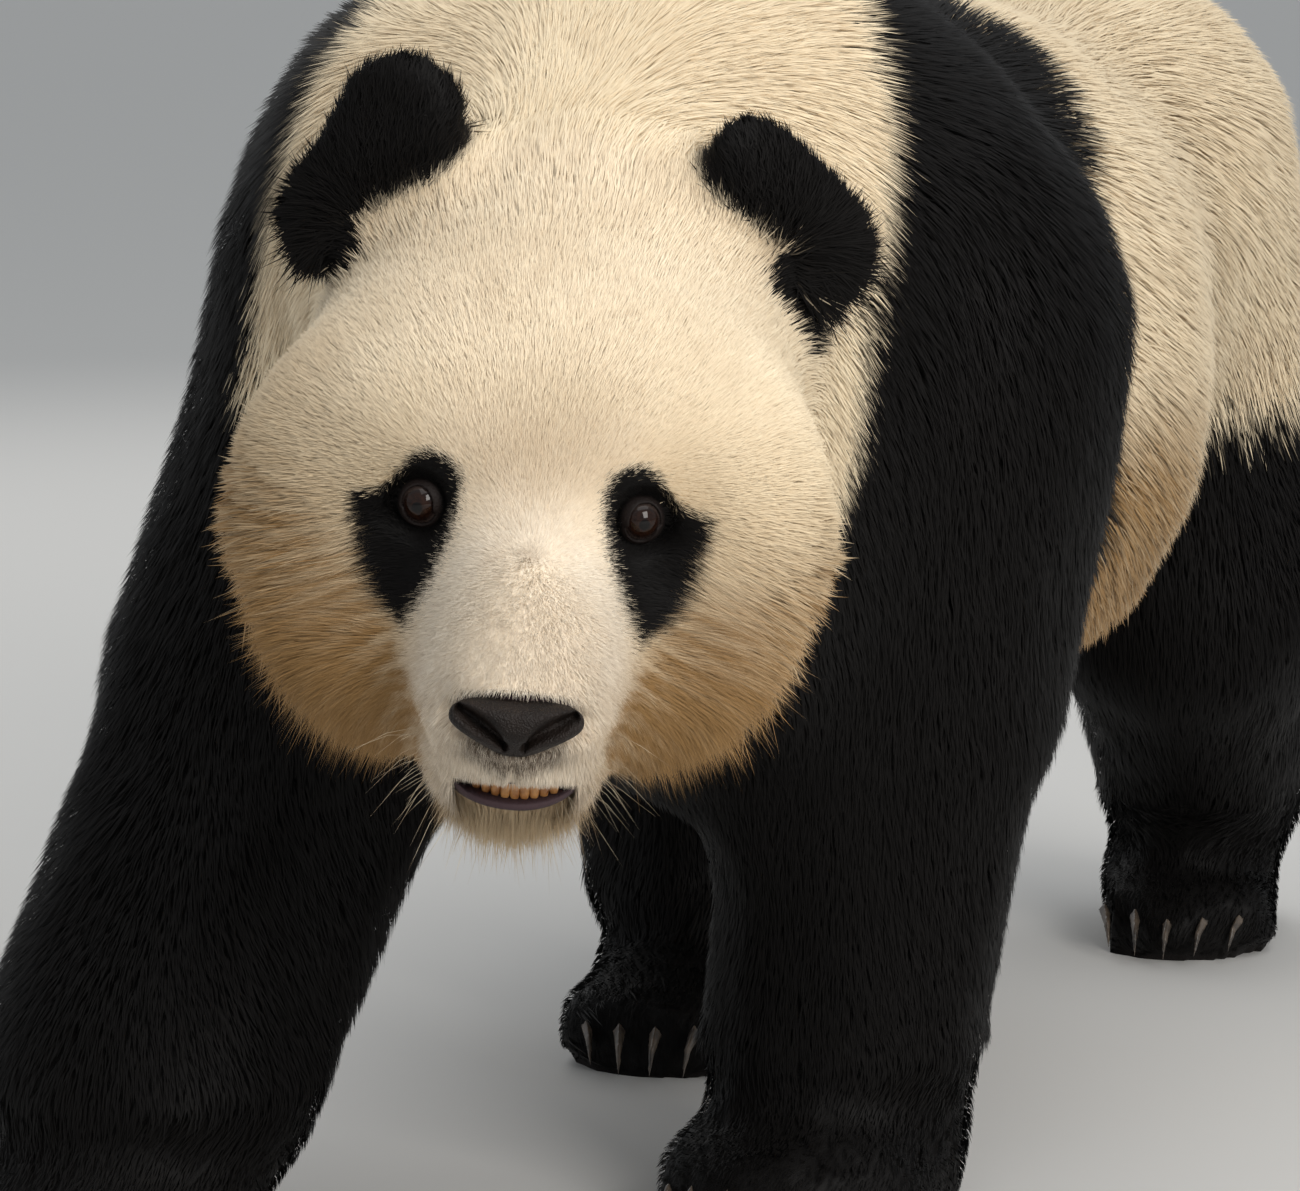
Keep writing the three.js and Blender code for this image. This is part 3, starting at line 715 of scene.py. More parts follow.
def bare_fields(h, points, normals):
    """Where the skin shows: the lids, the lips with the floor under the nose pad, and the soles."""
    y, z = h[:, 1], h[:, 2]
    level, along = mouth_opening(h)
    front = ramp(-0.05, -0.07, y)
    lid = np.zeros(len(points))
    for _, side in SIDES:
        centre, across, up, outward = eye_axes(side)
        q = h - centre
        edge = np.hypot(q @ across / EYE_OPENING[0], q @ up / EYE_OPENING[1])
        lid = np.maximum(lid, ramp(1.42, 1.2, edge) * (q @ outward > -0.012))
    below = (level + 1) * half_gape(along)
    lip = ramp(-0.01, -0.0082, below) * ramp(1.35, 1.05, level) * ramp(0.05, 0.3, along) * front
    nose_pad = ramp(0.002, -0.002, oval(h[:, 0], z, (0, -0.069), (0.033, 0.0145))) * ramp(-0.07, -0.08, y)
    lip = np.maximum(lip, nose_pad)
    sole = ramp(-0.6, -0.9, normals[:, 2]) * ramp(0.012, 0.004, points[:, 2])
    bare = np.clip(np.maximum.reduce([lid, lip, sole]), 0, 1)
    return {"lid": lid, "lip": lip, "sole": sole, "bare": bare}


def hair_fields(h, normals, weights):
    """Where the hair is short (eyes, lips), long (ruff, chin), hangs down or shows its roots."""
    x, y, z = folded(h)
    level, along = mouth_opening(h)
    head = weight(weights, "head")
    near_lips = bell(level - 1, 0.9) * ramp(0, 0.3, along) * ramp(-0.05, -0.07, y)
    ring = mix(0.45, 1, ramp(0.012, 0.045, np.hypot(x - EYE_SPACING / 2, z)))
    ring = ring * (1 - 0.45 * bell(from_point(h, WHORL), 0.014))
    face = ramp(0.055, -0.005, y) * ramp(0.13, 0.095, x) * ramp(-0.15, -0.125, z) * head
    edge_x, edge_z = (h[:, 0] - MOUTH_X) / 0.046, (z + 0.128) / 0.022
    chin = np.exp(-edge_x ** 4 - edge_z ** 4) * ramp(-1.0, -1.7, level) * ramp(0.0, -0.04, y) * head
    beard = head * ramp(0.016, 0.04, x) * ramp(-0.045, -0.085, z) * ramp(0.03, -0.02, y)
    beard = np.maximum(beard, 0.4 * head * ramp(-0.092, -0.104, z) * ramp(-0.05, -0.07, y))
    under_chin = ramp(-0.127, -0.133, z) * ramp(0.066, 0.048, x) * ramp(0.01, -0.03, y) * head
    rim = ramp(0.05, -0.35, (normals @ HEAD_TURN)[:, 2]) * ramp(-0.045, -0.08, z) * head
    limb = weight(weights, "shoulder", "forearm", "thigh", "shank", "paw", "ear")
    contrast = 0.14 + 0.14 * limb + 0.2 * head + 0.45 * beard
    contrast = contrast + 0.7 * head * ramp(0.05, -0.04, z) * ramp(0.045, 0.08, x)
    return {
        "front": face, "short": ring * (1 - 0.45 * near_lips), "beard": beard,
        "long": np.clip(0.75 * chin + jowl(h) * head, 0, 1),
        "hang": np.clip(np.maximum(under_chin, 0.7 * rim * jowl(h)), 0, 1),
        "contrast": np.clip(contrast, 0, 1),
        "ear_low": sum(bell(from_point(h, start), 0.024) for start, _ in EAR_TAILS),
    }


def colour_fields(h, points, weights):
    """Shares of the brown stain, which also carries painted shade on the lower cheeks, the right temple and
    behind the elbow; of the paler hair on the muzzle and the top of the head; and of the soot at the nose
    and mouth.
    """
    x, y, z = folded(h)
    level, along = mouth_opening(h)
    front = ramp(-0.05, -0.07, y)
    head = weight(weights, "head")
    whorl = bell(from_point(h, WHORL), 0.006)
    # Painted shade and brown stain on the lower cheeks: darkened as if shaded from above, and less on the
    # head's left side, which faces the lamps.
    lower_cheek_shade_and_brown = ramp(0.025, -0.085, z) * ramp(0.05, 0.08, x) * ramp(0.16, 0.08, y)
    outer_cheek = ramp(0.07, 0.13, x) * ramp(0.0, -0.06, z)
    beside_muzzle = bell(x - 0.082, 0.022) * bell(z + 0.095, 0.035) * ramp(0.06, 0.0, y)
    under_eye = bell(x - 0.054, 0.016) * bell(z + 0.075, 0.03) * ramp(0.05, 0.0, y)
    between_brows = bell(x, 0.034) * bell(z - 0.022, 0.024)
    chin = ramp(-0.1, -0.135, z) * ramp(0.05, -0.02, y)
    # Painted shade: only the temple on the head's right side, the side away from the lamps, is darkened.
    right_temple_shade = ramp(-0.07, -0.13, h[:, 0]) * ramp(0.1, 0.03, z) * ramp(0.14, 0.08, y)
    ear_fold = bell(from_ear_tail(h), 0.014)
    muzzle_side = ramp(0.036, 0.054, x) * ramp(-0.062, -0.092, z) * ramp(0.04, -0.01, y) * head
    stain = 0.6 * lower_cheek_shade_and_brown * mix(1.0, 0.78, ramp(-0.02, 0.06, h[:, 0])) + 0.15 * outer_cheek
    stain = stain + 0.33 * chin + 0.2 * beside_muzzle + 0.2 * under_eye + 0.25 * right_temple_shade
    stain = head * (stain + 0.45 * ear_fold + 0.16 * between_brows) + 0.3 * whorl + 0.42 * muzzle_side
    # Painted shade and brown stain on the flank behind the elbow, beside the foreleg. The trunk's hair is
    # also darker towards its bottom.
    elbow_shade_and_brown = ramp(0.52, 0.42, points[:, 2]) * ramp(0.24, 0.04, points[:, 1])
    on_body = 0.06 + 0.4 * ramp(0.42, 0.26, points[:, 2]) + 0.85 * elbow_shade_and_brown
    stain = stain + weight(weights, "belly", "rump", "chest") * on_body
    pale = head * ramp(0.02, -0.04, y) * ramp(0.065, 0.045, x) * 0.85 * (1 - 0.75 * muzzle_side)
    pale = pale * (1 - ramp(-0.117, -0.128, z) * head) + 0.25 * head * ramp(0, 0.08, z)
    under_nose = ramp(0.004, -0.004, oval(x, z, (0, -0.086), (0.027, 0.013)))
    under_nose = under_nose * ramp(-0.078, -0.084, z)
    corner = bell(np.abs(h[:, 0] - MOUTH_X) - MOUTH_HALF, 0.006) * bell(z - MOUTH_Z + 0.004, 0.0045)
    soot = 0.75 * under_nose + 0.3 * bell(level - 1.3, 1.0) * along + 0.35 * head * corner
    soot = front * soot + 0.25 * whorl
    return {"stain": np.clip(stain, 0, 1), "pale": np.clip(pale, 0, 1), "soot": np.clip(soot, 0, 1)}


def skin_fields(mesh):
    """The skin's triangles, and all that the coat needs to know at each point of it."""
    net = Net(mesh)
    points, normals = coordinates(mesh), vertex_normals(mesh)
    weights = region_weights(net, points)
    h = to_head(points)
    mesh.calc_loop_triangles()
    return read_all(mesh.loop_triangles, "vertices", 3), {
        "points": points, "normals": normals, "weights": weights,
        "lie": unit(net.relaxed(lie_of_coat(points, normals, weights), 3)),
        "depth": net.relaxed(coat_depth(points, weights), 3),
        "ears": weight(weights, "ear"),
        "fore": weight(weights, "shoulder", "forearm") + weight(weights, "paw") * (points[:, 1] < 0),
        "hind": weight(weights, "thigh", "shank", "rump") + weight(weights, "paw") * (points[:, 1] > 0),
        **bare_fields(h, points, normals), **hair_fields(h, normals, weights),
        **colour_fields(h, points, weights),
    }


def sample(fields, triangles, count, density):
    """Random roots on the skin, with every field read there."""
    corners = fields["points"][triangles]
    first, second, third = corners[:, 0], corners[:, 1], corners[:, 2]
    area = np.linalg.norm(np.cross(second - first, third - first), axis=1) / 2
    chance = area * density
    picked = rng.choice(len(triangles), count, p=chance / chance.sum())
    a, b = rng.random(count), rng.random(count)
    fold = a + b > 1
    a[fold], b[fold] = 1 - a[fold], 1 - b[fold]
    shares = np.stack([1 - a - b, a, b], axis=1)
    found = {name: np.einsum("nk,nk...->n...", shares, values[triangles[picked]])
             for name, values in fields.items()}
    found["normals"] = unit(found["normals"])
    return found


def clumped(roots, tips, cell, pull):
    """Draws tufts together in small locks: those whose roots share a wavy cell lean to one tip."""
    wavy = roots / cell[:, None] + 0.35 * np.sin(roots[:, [1, 2, 0]] / cell[:, None] * 1.7)
    keys = np.floor(wavy).astype(np.int64)
    code = keys[:, 0] * 73856093 ^ keys[:, 1] * 19349663 ^ keys[:, 2] * 83492791
    _, lock = np.unique(code, return_inverse=True)
    members = np.bincount(lock)
    centre, reach = (np.stack([np.bincount(lock, column) / members for column in each.T], axis=1)
                     for each in (roots, tips - roots))
    turn = rng.normal(0, 0.14, (len(members), 3)) * np.linalg.norm(reach, axis=1)[:, None]
    goal = (centre + reach * rng.uniform(0.9, 1.1, (len(members), 1)) + turn)[lock]
    return tips + (goal - tips) * pull[:, None], rng.random(len(members))[lock]


HANG_SHARE = 0.76         # hair that hangs falls this share of its length below its root
PATCH = 0.003
LEAF = {"faces": np.array([[0, 1, 2], [1, 3, 2]]), "tips": [0.1, 0.6, 0.6, 1.0],
        "patch": np.array([[0.5, 0], [0, 0.5], [1, 0.5], [0.5, 1]]) * PATCH}
NEEDLE = {"faces": np.array([[0, 2, 1]]), "tips": [0.45, 0.45, 1.0],
          "patch": np.array([[0, 0], [1, 0], [0.5, 1]]) * PATCH}


def locks(look, at, lie):
    """Roots, middles, tips and half widths of the tufts, which leave the skin and bend to lie along it."""
    n = len(at["points"])
    roots, up = at["points"], at["normals"]
    guard = 1 + (look["guard"] + 0.15 * at["long"] + 0.45 * at["hang"]) * (rng.random(n) < 0.12)
    rise = look["rise"](at) * (1.03 - look["vary"](at) * rng.random(n)) * guard
    length = look["length"](at) * rng.uniform(mix(0.7, 0.38, at["long"]), 1.12) * guard
    run = np.sqrt(np.maximum(length ** 2 - rise ** 2, (0.35 * length) ** 2))
    tips = roots + lie * run[:, None] + up * (rise - run ** 2 * look["sag"])[:, None]
    fall = unit(up * 0.45 + [0, 0, -1] + rng.normal(0, 0.24, (n, 3)))
    tips = mix(tips, roots + fall * (length * HANG_SHARE)[:, None], at["hang"][:, None])
    tips, lock_tone = clumped(roots, tips, look["lock"](at), look["pull"](at) * rng.uniform(0.4, 1.2, n))
    gather = look["gather"] * ramp(0.002, 0.009, at["depth"])
    tips, coarse_tone = clumped(roots, tips, look["lock"](at) * 3.1, gather * rng.uniform(0.5, 1.0, n))
    tips[:, 2] = np.maximum(tips[:, 2], 0.001)
    middles = roots + (tips - roots) * 0.48 + up * (rise * 0.22)[:, None]
    across = unit(np.cross(up, tips - roots) + up * (rng.normal(0, 0.2, n) * run)[:, None])
    half = across * (look["width"](at) * rng.uniform(0.65, 1.2, n) / 2)[:, None]
    return roots - up * 0.0012, middles, tips, half, 0.6 * lock_tone + 0.4 * coarse_tone


def make_blades(name, form, base, middles, tips, half):
    if form is LEAF:
        verts = np.stack([base, middles - half, middles + half, tips], axis=1)
    else:
        verts = np.stack([base - half, base + half, tips], axis=1)
    n, corners = verts.shape[:2]
    faces = (np.arange(n)[:, None, None] * corners + form["faces"]).reshape(-1, 3)
    mesh = bpy.data.meshes.new(name)
    mesh.vertices.add(n * corners)
    mesh.vertices.foreach_set("co", verts.astype(np.float32).ravel())
    mesh.loops.add(faces.size)
    mesh.loops.foreach_set("vertex_index", faces.astype(np.int32).ravel())
    mesh.polygons.add(len(faces))
    mesh.polygons.foreach_set("loop_start", np.arange(0, faces.size, 3, dtype=np.int32))
    mesh.update(calc_edges=True)
    return mesh, faces


def place_for_baking(mesh, faces, form, roots, axis):
    """The OFBake map: each tuft has a small patch where its root lies, unrolled round an axis."""
    q = roots - roots.mean(axis=0)
    first, second = (k for k in range(3) if k != axis)
    turn = np.arctan2(q[:, first], q[:, second]) / (2 * math.pi) + 0.5
    rise = (q[:, axis] - q[:, axis].min()) / max(np.ptp(q[:, axis]), 1e-6)
    corner = np.stack([turn, rise], axis=1) * 0.99 + 0.003
    spots = (corner[:, None, :] + form["patch"]).reshape(-1, 2)
    layer = mesh.uv_layers.new(name="OFBake")
    layer.data.foreach_set("uv", spots[faces.ravel()].astype(np.float32).ravel())


def soften(mesh, form, up, share, middles, tips, half):
    """Turns the shading of each tuft some of the way to the skin's, so that the coat looks soft."""
    own = unit(np.cross(tips - middles, half))
    own = own * np.sign(np.sum(own * up, axis=1, keepdims=True) + 1e-9)
    shared = unit(mix(own, up, share[:, None]))
    layer = mesh.attributes.new("custom_normal", "FLOAT_VECTOR", "POINT")
    vectors = np.repeat(shared, len(form["tips"]), axis=0)
    layer.data.foreach_set("vector", vectors.astype(np.float32).ravel())


def face_streaks(points):
    """Darker and lighter streaks that run out from the whorl over the cheeks, from 0 to 1."""
    q = to_head(points) - WHORL
    turn, reach = np.arctan2(q[:, 0], q[:, 2]), np.linalg.norm(q, axis=1)
    broad = np.sin(turn * 57 + 3.0 * np.sin(reach * 55))
    narrow = np.sin(turn * 121 + 2.2 * np.sin(reach * 85 + turn * 7))
    return np.clip(0.5 + 0.42 * broad + 0.34 * narrow, 0, 1)


def grow(name, fields, triangles, count, look, material, axis):
    """A piece of coat: thin tapered tufts over the given triangles of the skin."""
    form = look["form"]
    density = look["density"](fields)[triangles].mean(axis=1) + 1e-9
    at = sample(fields, triangles, count, density)
    keep = rng.random(count) > at["bare"] * 1.3 - 0.15
    at = {key: value[keep] for key, value in at.items()}
    n = len(at["points"])
    waves = np.sin(at["points"][:, [1, 2, 0]] * [61, 47, 53] + np.sin(at["points"] * 31) * 2)
    lie = flattened(at["lie"] + rng.normal(0, look["stray"], (n, 3)) + waves * look["wave"], at["normals"])
    base, middles, tips, half, lock_tone = locks(look, at, lie)
    mesh, faces = make_blades(name, form, base, middles, tips, half)
    soften(mesh, form, at["normals"], mix(0.96, 0.32, at["contrast"]), middles, tips, half)
    reach = base + (tips - base) * 0.75
    black = blackness(reach, at, rng.normal(0, 1, n))
    streaks = ramp(0.3, 1.0, at["contrast"]) * ramp(0.15, 0.45, at["stain"])
    own_tone = rng.random(n)
    shades = 0.1 * own_tone + 0.25 * lock_tone + 0.7 * face_streaks(at["points"])
    tone = (0.1 * own_tone + 0.2 * lock_tone) * look["tone"] + streaks * shades
    tone = tone + at["beard"] * (0.12 * own_tone + 0.22 * lock_tone) + 0.16 * at["pale"] * own_tone ** 2
    values = {"black": black, "tone": tone}
    # The stain share, painted shade included, varies a little from tuft to tuft.
    for shared, spread in (("stain", 0.25), ("pale", 0.15 + 0.35 * at["beard"]), ("soot", 0.8)):
        values[shared] = at[shared] * rng.uniform(1 - spread, 1 + spread, n)
    for key, value in values.items():
        put_values(mesh, key, np.repeat(np.clip(value, 0, 1), len(form["tips"])))
    put_values(mesh, "tip", (1 - np.outer(at["contrast"], 1 - np.array(form["tips"]))).ravel())
    place_for_baking(mesh, faces, form, at["points"], axis)
    new_object(name, mesh, material, look["slot"])


def body_look(slot, long, wide, cell, **more):
    look = {
        "form": LEAF, "slot": slot,
        "density": lambda f: np.ones(len(f["depth"])),
        "rise": lambda at: at["depth"],
        "length": lambda at: long * (0.3 + 0.7 * np.minimum(at["depth"] / 0.016, 1.1)),
        "width": lambda at: wide,
        "lock": lambda at: np.full(len(at["depth"]), cell),
        "vary": lambda at: 0.26, "pull": lambda at: 0.14,
        "stray": 0.1, "wave": 0.06, "sag": 1.0, "gather": 0.07, "tone": 0.45, "guard": 0.1}
    look.update(more)
    return look


def head_look(form, fine, share):
    """Short fine hair on the face, longer and coarser towards the cheeks, the chin and the crown."""
    def density(f):
        return mix(4.0, 1.0, ramp(0.004, 0.018, f["depth"])) * (1 - 0.95 * f["bare"]) * share(f["front"])

    def length(at):
        usual = (0.0022 + 1.1 * at["depth"] + 0.9 * np.maximum(at["depth"] - 0.008, 0)) * at["short"]
        return usual + 0.025 * at["long"] + 0.0065 * at["beard"]

    return body_look(
        "cream_fur", 0, 0, 0, form=form, density=density, length=length,
        rise=lambda at: at["depth"] * at["short"] ** 0.5 + 0.011 * at["long"] + 0.0018 * at["beard"],
        vary=lambda at: 0.42 + 0.35 * at["long"],
        width=lambda at: (mix(0.00042, 0.0012, ramp(0.003, 0.02, at["depth"])) + 0.00022 * at["beard"]
                          - 0.0003 * at["long"]) * fine,
        lock=lambda at: mix(0.0024, 0.0075, ramp(0.003, 0.018, at["depth"])),
        pull=lambda at: 0.05 + 0.35 * ramp(0.006, 0.016, at["depth"]) + 0.25 * at["long"],
        stray=0.1, wave=0.07, sag=1.6, gather=0.16, tone=0.8, guard=0.18)


EAR_LOOK = dict(
    length=lambda at: 0.016 + 0.018 * at["ear_low"],
    rise=lambda at: 0.0085 + 0.008 * at["ear_low"],
    pull=lambda at: 0.45, stray=0.34, sag=0.0, guard=0.45)
PAW_LOOK = dict(
    length=lambda at: 0.007 + at["depth"] * 1.1 + 0.013 * ramp(0.05, 0.12, at["points"][:, 2]),
    sag=0.8, stray=0.1, guard=0.0)


def make_coat(triangles, fields):
    material = coat_material()
    best = fields["weights"].argmax(axis=1)[triangles[:, 0]]
    middle = fields["points"][triangles].mean(axis=1)
    on_head = to_head(middle)

    def part(*regions):
        return np.isin(best, [REGIONS.index(region) for region in regions])

    left, front = middle[:, 0] > 0.03, middle[:, 1] < 0
    share = fields["front"][triangles].mean(axis=1)
    on_face, back_head = part("head") & (share > 0.005), part("head") & (share < 0.995)
    foreleg = part("shoulder", "forearm") & front
    face_look, crown_look = head_look(NEEDLE, 1.15, lambda f: f), head_look(LEAF, 1.0, lambda f: 1 - f)
    pieces = [
        ("coat_face", on_face, 196000, face_look, 1),
        ("coat_head_left", back_head & (on_head[:, 0] > 0), 96000, crown_look, 1),
        ("coat_head_right", back_head & (on_head[:, 0] <= 0), 96000, crown_look, 1),
        ("coat_ears", part("ear"), 34000, body_look("black_fur", 0, 0.001, 0.006, **EAR_LOOK), 1),
        ("coat_neck", part("neck"), 78000, body_look("cream_fur", 0.038, 0.0011, 0.008), 1),
        ("coat_chest", part("chest"), 50000, body_look("black_fur", 0.04, 0.0014, 0.009), 1),
        ("coat_belly", part("belly"), 46000, body_look("cream_fur", 0.042, 0.0014, 0.009), 1),
        ("coat_rump", part("rump", "tail"), 56000, body_look("cream_fur", 0.042, 0.0014, 0.009), 1),
        ("coat_foreleg_left", foreleg & left, 50000, body_look("black_fur", 0.034, 0.0014, 0.009), 2),
        ("coat_foreleg_right", foreleg & ~left, 50000, body_look("black_fur", 0.034, 0.0014, 0.009), 2),
        ("coat_hind_legs", part("thigh", "shank"), 48000, body_look("black_fur", 0.036, 0.0016, 0.01), 2),
        ("coat_paws", part("paw"), 44000, body_look("black_fur", 0, 0.0012, 0.006, **PAW_LOOK), 2),
    ]
    for name, chosen, count, look, axis in pieces:
        grow(name, fields, triangles[chosen], count, look, material, axis)


def finish_skin(mesh, fields):
    put_values(mesh, "black", blackness(fields["points"], fields, 0))
    put_values(mesh, "tip", mix(0.85, 0.15, fields["contrast"]))
    put_values(mesh, "tone", np.full(len(fields["depth"]), 0.05))
    # The skin carries the same stain share, painted shade included.
    for name in ("stain", "pale", "soot", "lid", "lip", "sole"):
        put_values(mesh, name, fields[name])
    new_object("skin", mesh, skin_material(), "cream_fur", *FLESH)


# ---- whiskers ----

WHISKERS_PER_SIDE = 44
WHISKER_HALF_WIDTH = 0.00011
WHISKER_DARK, WHISKER_LIGHT = (0.3, 0.2, 0.11), (0.7, 0.6, 0.43)


def make_whiskers(triangles, fields):
    """Long pale hairs at the corners of the mouth and under the chin."""
    n = 2 * WHISKERS_PER_SIDE
    side = np.repeat([1.0, -1.0], WHISKERS_PER_SIDE)
    spread = rng.random(n)
    aside, height = side * mix(0.012, 0.05, spread), mix(-0.136, -0.1, spread)
    wanted = np.stack([aside, np.full(n, -0.07), height], axis=1)
    wanted += rng.normal(0, 0.004, (n, 3))
    tree = BVHTree.FromPolygons(fields["points"].tolist(), triangles.tolist())
    roots = np.array([tree.find_nearest(Vector(p))[0] for p in from_head(wanted)])
    outward, forward = side * mix(0.25, 1.0, spread), rng.uniform(-0.5, 0.1, n)
    way = np.stack([outward, forward, mix(-1.0, -0.25, spread)], axis=1)
    way = unit(way + rng.normal(0, 0.22, (n, 3))) @ HEAD_TURN.T
    length = rng.uniform(0.016, 0.046, n)[:, None]
    droop = np.outer(rng.uniform(0.05, 0.25, n), [0, 0, -1]) * length
    middles, tips = roots + way * length * 0.5, roots + way * length + droop
    half = unit(np.cross(way, [0.2, 1.0, 0.3])) * WHISKER_HALF_WIDTH
    mesh, faces = make_blades("whiskers", LEAF, roots - way * 0.002, middles, tips, half)
    place_for_baking(mesh, faces, LEAF, roots, 1)
    material, _, _ = mottled_material("whisker", 60.0, 0.35, 0.65, WHISKER_DARK, WHISKER_LIGHT, 0.4)
    new_object("whiskers", mesh, material, "cream_fur")


# ---- eyes ----

PUPIL = (0.002, 0.0015, 0.0015)
IRIS_DARK, IRIS_LIGHT, IRIS_EDGE = (0.0065, 0.0027, 0.0016), (0.02, 0.0078, 0.0045), (0.012, 0.007, 0.006)
EYE_WHITE = (0.03, 0.021, 0.018)


def eye_material():
    """Pupil, streaked iris, its dark edge and the white, ring by ring from the eye's axis."""
    material, tree, shader = new_material("eye", 0.06, 0.24)
    off = read(tree, "off_axis")
    streaks = patches(tree, 420.0, 0.3, 0.7, 4.0)
    iris = blended(tree, streaks, IRIS_DARK, IRIS_LIGHT)
    colour = PUPIL
    for start, end, outer in ((0.2, 0.25, iris), (0.58, 0.68, IRIS_EDGE), (0.72, 0.8, EYE_WHITE)):
        colour = blended(tree, stretched(tree, off, start, end), colour, outer)
    tree.links.new(colour, shader.inputs["Base Color"])
    add_bump(tree, shader, noise(tree, 300.0), 0.02, 0.0002)
    return material


def make_eyes():
    material = eye_material()
    for name, side in SIDES:
        centre, across, up, outward = eye_axes(side)
        ball = bmesh.new()
        bmesh.ops.create_uvsphere(ball, u_segments=64, v_segments=48, radius=1)
        d = np.array([v.co for v in ball.verts])
        off_axis = np.arccos(np.clip(d[:, 2], -1, 1))
        radius = EYE_RADIUS * (1 + 0.07 * bell(off_axis, 0.5))
        local = centre + radius[:, None] * (d @ np.array([across, up, outward]))
        mesh = mesh_of(ball, f"eyeball_{name}")
        set_coordinates(mesh, from_head(local))
        put_values(mesh, "off_axis", off_axis)
        shade_smooth(mesh)
        new_object(f"eyeball_{name}", mesh, material, "eye", f"eye_{name}")


# ---- nose ----

NOSE_HALF_WIDTH = 0.034
NOSE_PLACE = np.array([0, 0.016 - MUZZLE_REACH, -0.07])
NOSE_TILT = math.radians(-10)
NOSE_DARK, NOSE_LIGHT = (0.006, 0.0037, 0.0027), (0.014, 0.009, 0.0068)


def nose_material():
    material, tree, shader = mottled_material("nose", 70.0, 0.35, 0.7, NOSE_DARK, NOSE_LIGHT, 0.52, 0.2)
    place = add_node(tree, "ShaderNodeTexCoord").outputs["Object"]
    cells = add_node(tree, "ShaderNodeTexVoronoi", {"Vector": place, "Scale": 900.0}).outputs["Distance"]
    add_bump(tree, shader, cells, 0.8, 0.0008)
    return material


def make_nose():
    """The bare pad: a broad top edge, sides that run in to the lip, and two comma-shaped nostrils."""
    pad = bmesh.new()
    bmesh.ops.create_uvsphere(pad, u_segments=120, v_segments=90, radius=1)
    d = np.array([v.co for v in pad.verts])
    z = np.sign(d[:, 2]) * np.abs(d[:, 2]) ** np.where(d[:, 2] > 0, 0.58, 0.85)
    narrowing = 1 - 0.46 * ramp(0.1, -1.0, z)
    square = np.maximum(np.abs(d[:, 0]), np.abs(d[:, 1]) * 0.9) ** 0.12
    x = NOSE_HALF_WIDTH * np.sign(d[:, 0]) * np.abs(d[:, 0]) ** 0.85 * narrowing * square
    y = 0.0175 * d[:, 1] * (1 - 0.25 * ramp(0, -1, z))
    height = np.where(z > 0, 0.0128, 0.0178) * z
    height = height - 0.0016 * bell(x, 0.016) * ramp(0, 1, z)
    bottom = ramp(-0.006, -0.019, height)
    y = y + 0.003 * bottom
    for side in (1, -1):
        t = np.clip((side * x - 0.0055) / 0.0235, 0, 1)
        slit = -0.0105 + 0.016 * t ** 0.62
        past_ends = np.clip(0.0055 - side * x, 0, 1) + np.clip(side * x - 0.029, 0, 1)
        near = np.hypot((height - slit) / (0.0027 + 0.0022 * np.sin(math.pi * t)), past_ends / 0.002)
        facing = ramp(0.002, -0.006, y)
        y = y + 0.012 * bell(near, 1) * facing
        wing = bell(height - slit - 0.0058, 0.0028) * bell(side * x - 0.022, 0.01)
        y = y - 0.0014 * wing * facing
    y = y + 0.001 * bell(x, 0.0012) * ramp(-0.004, -0.012, height)
    local = np.stack([x, y, height], axis=1)
    tilt = np.array(Matrix.Rotation(NOSE_TILT, 3, "X"))
    mesh = mesh_of(pad, "nose_pad")
    set_coordinates(mesh, from_head(local @ tilt.T + NOSE_PLACE))
    shade_smooth(mesh)
    new_object("nose_pad", mesh, nose_material(), "nose_skin", "nose")


# ---- teeth and claws ----

def horn_material(name, dark, light, scale, roughness):
    material, tree, shader = mottled_material(name, scale, 0.3, 0.7, dark, light, roughness)
    add_bump(tree, shader, noise(tree, scale * 6), 0.25, 0.0003)
    return material


TEETH, TOOTH_SPACING, TEETH_Y = 9, 0.0049, -0.0912
CLAW_VOXEL, CLAW_PASSES = 0.0013, 12


def make_teeth():
    """The row of lower front teeth, in a shallow arc behind the lip."""
    row = bmesh.new()
    for index in range(TEETH):
        place = index - (TEETH - 1) / 2
        tooth = bmesh.ops.create_icosphere(row, subdivisions=3, radius=1)["verts"]
        for v in tooth:
            d = np.array(v.co)
            d = np.sign(d) * np.abs(d) ** 0.62
            local = d * [TOOTH_SPACING * 0.54, 0.003, 0.0056] * [1 - 0.1 * max(-d[2], 0), 1, 1]
            back, rise = 0.0004 * place ** 2, 0.00012 * place ** 2
            local += [place * TOOTH_SPACING + MOUTH_X, TEETH_Y + back, MOUTH_Z - 0.0016 + rise]
            v.co = from_head(local)
    mesh = mesh_of(row, "teeth")
    shade_smooth(mesh)
    material = horn_material("tooth", (0.26, 0.08, 0.018), (0.66, 0.33, 0.11), 160.0, 0.35)
    new_object("teeth", mesh, material, "claw_horn")


def make_claws():
    material = horn_material("claw", (0.02, 0.016, 0.013), (0.12, 0.09, 0.065), 90.0, 0.38)
    for kind in ("fore", "hind"):
        for name, _ in SIDES:
            horns = [f"{kind}claw_{name}_{place}" for place in range(1, 6)]
            mesh = remeshed(joined("claws", [shell_of(n, 0) for n in horns]), CLAW_VOXEL)
            set_coordinates(mesh, Net(mesh).faired(coordinates(mesh), CLAW_PASSES, 1.0))
            shade_smooth(mesh)
            new_object(f"claws_{kind}_{name}", mesh, material, "claw_horn", *horns)


# ---- light, floor and camera ----

FLOOR_REACH = 60.0
SKY_STRENGTH = 0.52


def make_floor():
    mesh = bpy.data.meshes.new("floor")
    signs = ((-1, -1), (1, -1), (1, 1), (-1, 1))
    mesh.from_pydata([(x * FLOOR_REACH, y * FLOOR_REACH, 0) for x, y in signs], [], [(0, 1, 2, 3)])
    material, _, shader = new_material("floor", 0.9)
    shader.inputs["Base Color"].default_value = (0.62, 0.61, 0.59, 1)
    mesh.materials.append(material)
    floor = placed("floor", mesh)


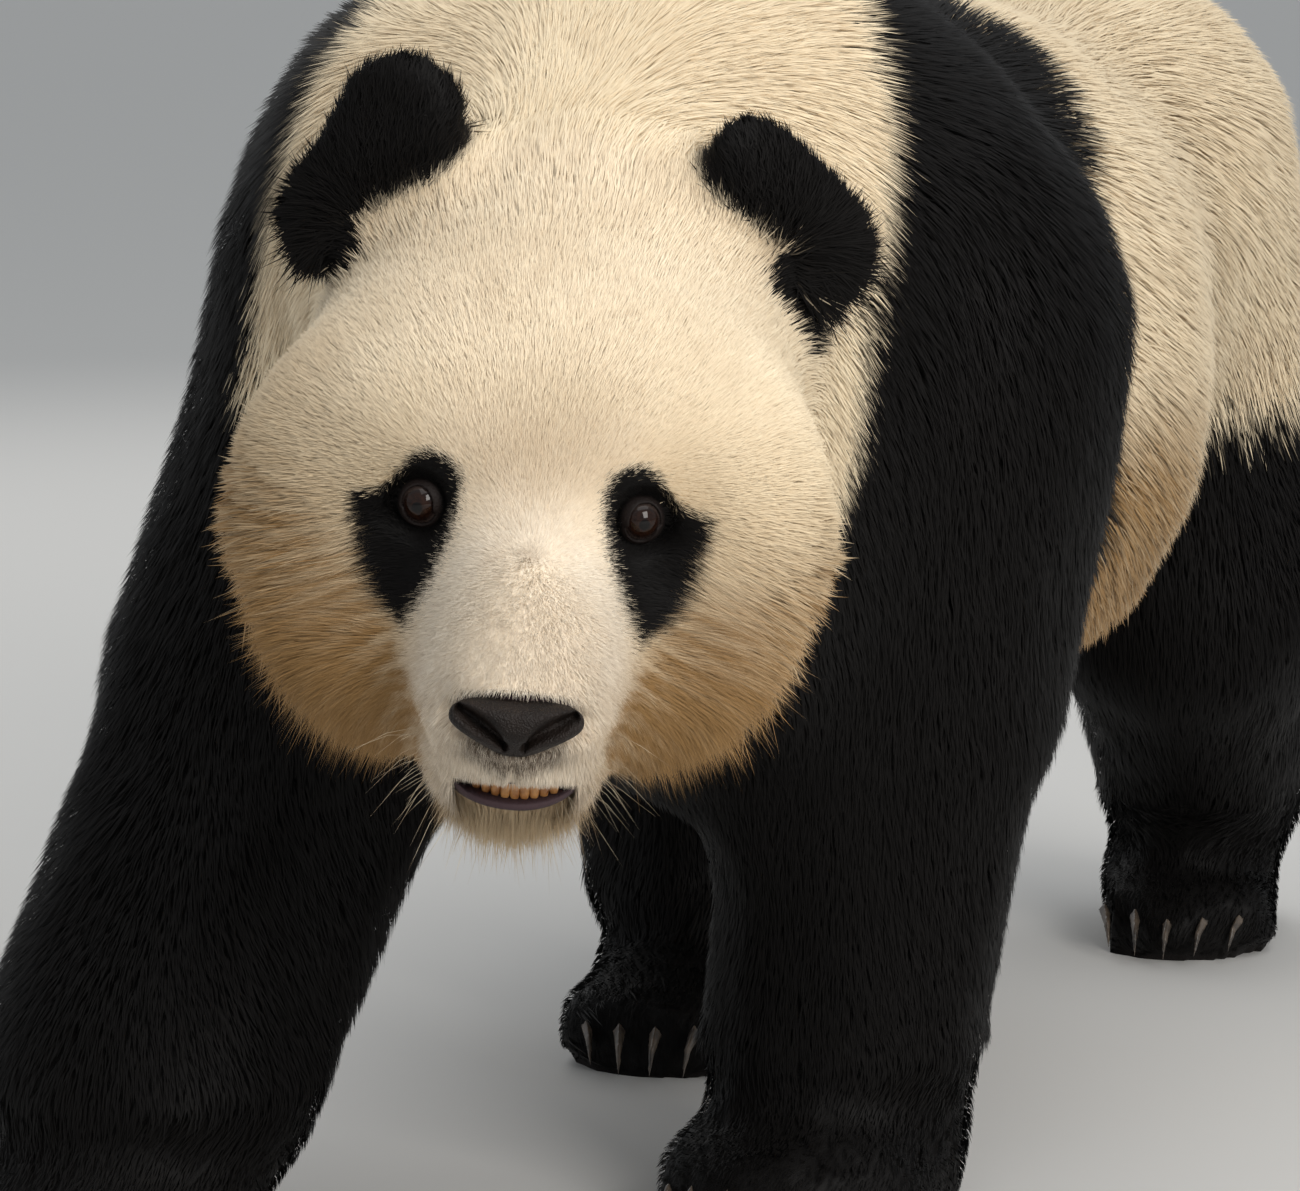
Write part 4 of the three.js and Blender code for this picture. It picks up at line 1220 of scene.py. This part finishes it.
def aim(obj, place, way):
    obj.location = place
    obj.rotation_mode = "QUATERNION"
    obj.rotation_quaternion = way.to_track_quat("-Z", "Y")


def area_light(name, place, target, size, power, colour):
    data = bpy.data.lights.new(name, "AREA")
    data.shape = "RECTANGLE"
    data.size, data.size_y = size
    data.energy = power
    data.color = colour
    aim(placed(name, data), place, Vector(target) - Vector(place))


def make_lights():
    world = bpy.data.worlds.new("studio")
    world.use_nodes = True
    sky = world.node_tree.nodes["Background"].inputs
    sky["Color"].default_value = (0.92, 0.96, 1.0, 1)
    sky["Strength"].default_value = SKY_STRENGTH
    bpy.context.scene.world = world
    area_light("sky", (0.8, -1.2, 3.6), (0, -0.3, 0.4), (3.4, 3.2), 58, (1.0, 0.98, 0.95))
    area_light("back", (-1.8, 3.2, 2.4), (0, 0.2, 0.4), (2.4, 2.4), 26, (1.0, 0.98, 0.95))
    area_light("key", (2.9, -2.9, 2.2), (0, -0.6, 0.4), (1.8, 1.8), 110, (1.0, 0.97, 0.93))


def make_camera():
    turn = Matrix.Rotation(CAMERA_AZIMUTH, 3, "Z") @ Matrix.Rotation(-CAMERA_ELEVATION, 3, "X")
    right, back, up = turn.col[0], -turn.col[1], turn.col[2]
    per_pixel = CAMERA_DISTANCE / FOCAL_PIXELS
    aside = (EYES_AT_PIXEL[0] - FRAME_WIDTH / 2) * per_pixel
    above = (FRAME_HEIGHT / 2 - EYES_AT_PIXEL[1]) * per_pixel
    data = bpy.data.cameras.new("camera")
    data.sensor_width = SENSOR_WIDTH
    data.lens = FOCAL_PIXELS / FRAME_WIDTH * SENSOR_WIDTH
    data.clip_start, data.clip_end = 0.05, 200
    camera = placed("camera", data)
    aim(camera, Vector(HEAD_ORIGIN) + back * CAMERA_DISTANCE - right * aside - up * above, -back)
    bpy.context.scene.camera = camera


# ---- scene ----

make_camera()
make_lights()
make_floor()
skin = make_skin()
triangles, fields = skin_fields(skin)
finish_skin(skin, fields)
make_coat(triangles, fields)
make_whiskers(triangles, fields)
make_eyes()
make_nose()
make_teeth()
make_claws()

bpy.context.scene.view_settings.view_transform = "Standard"
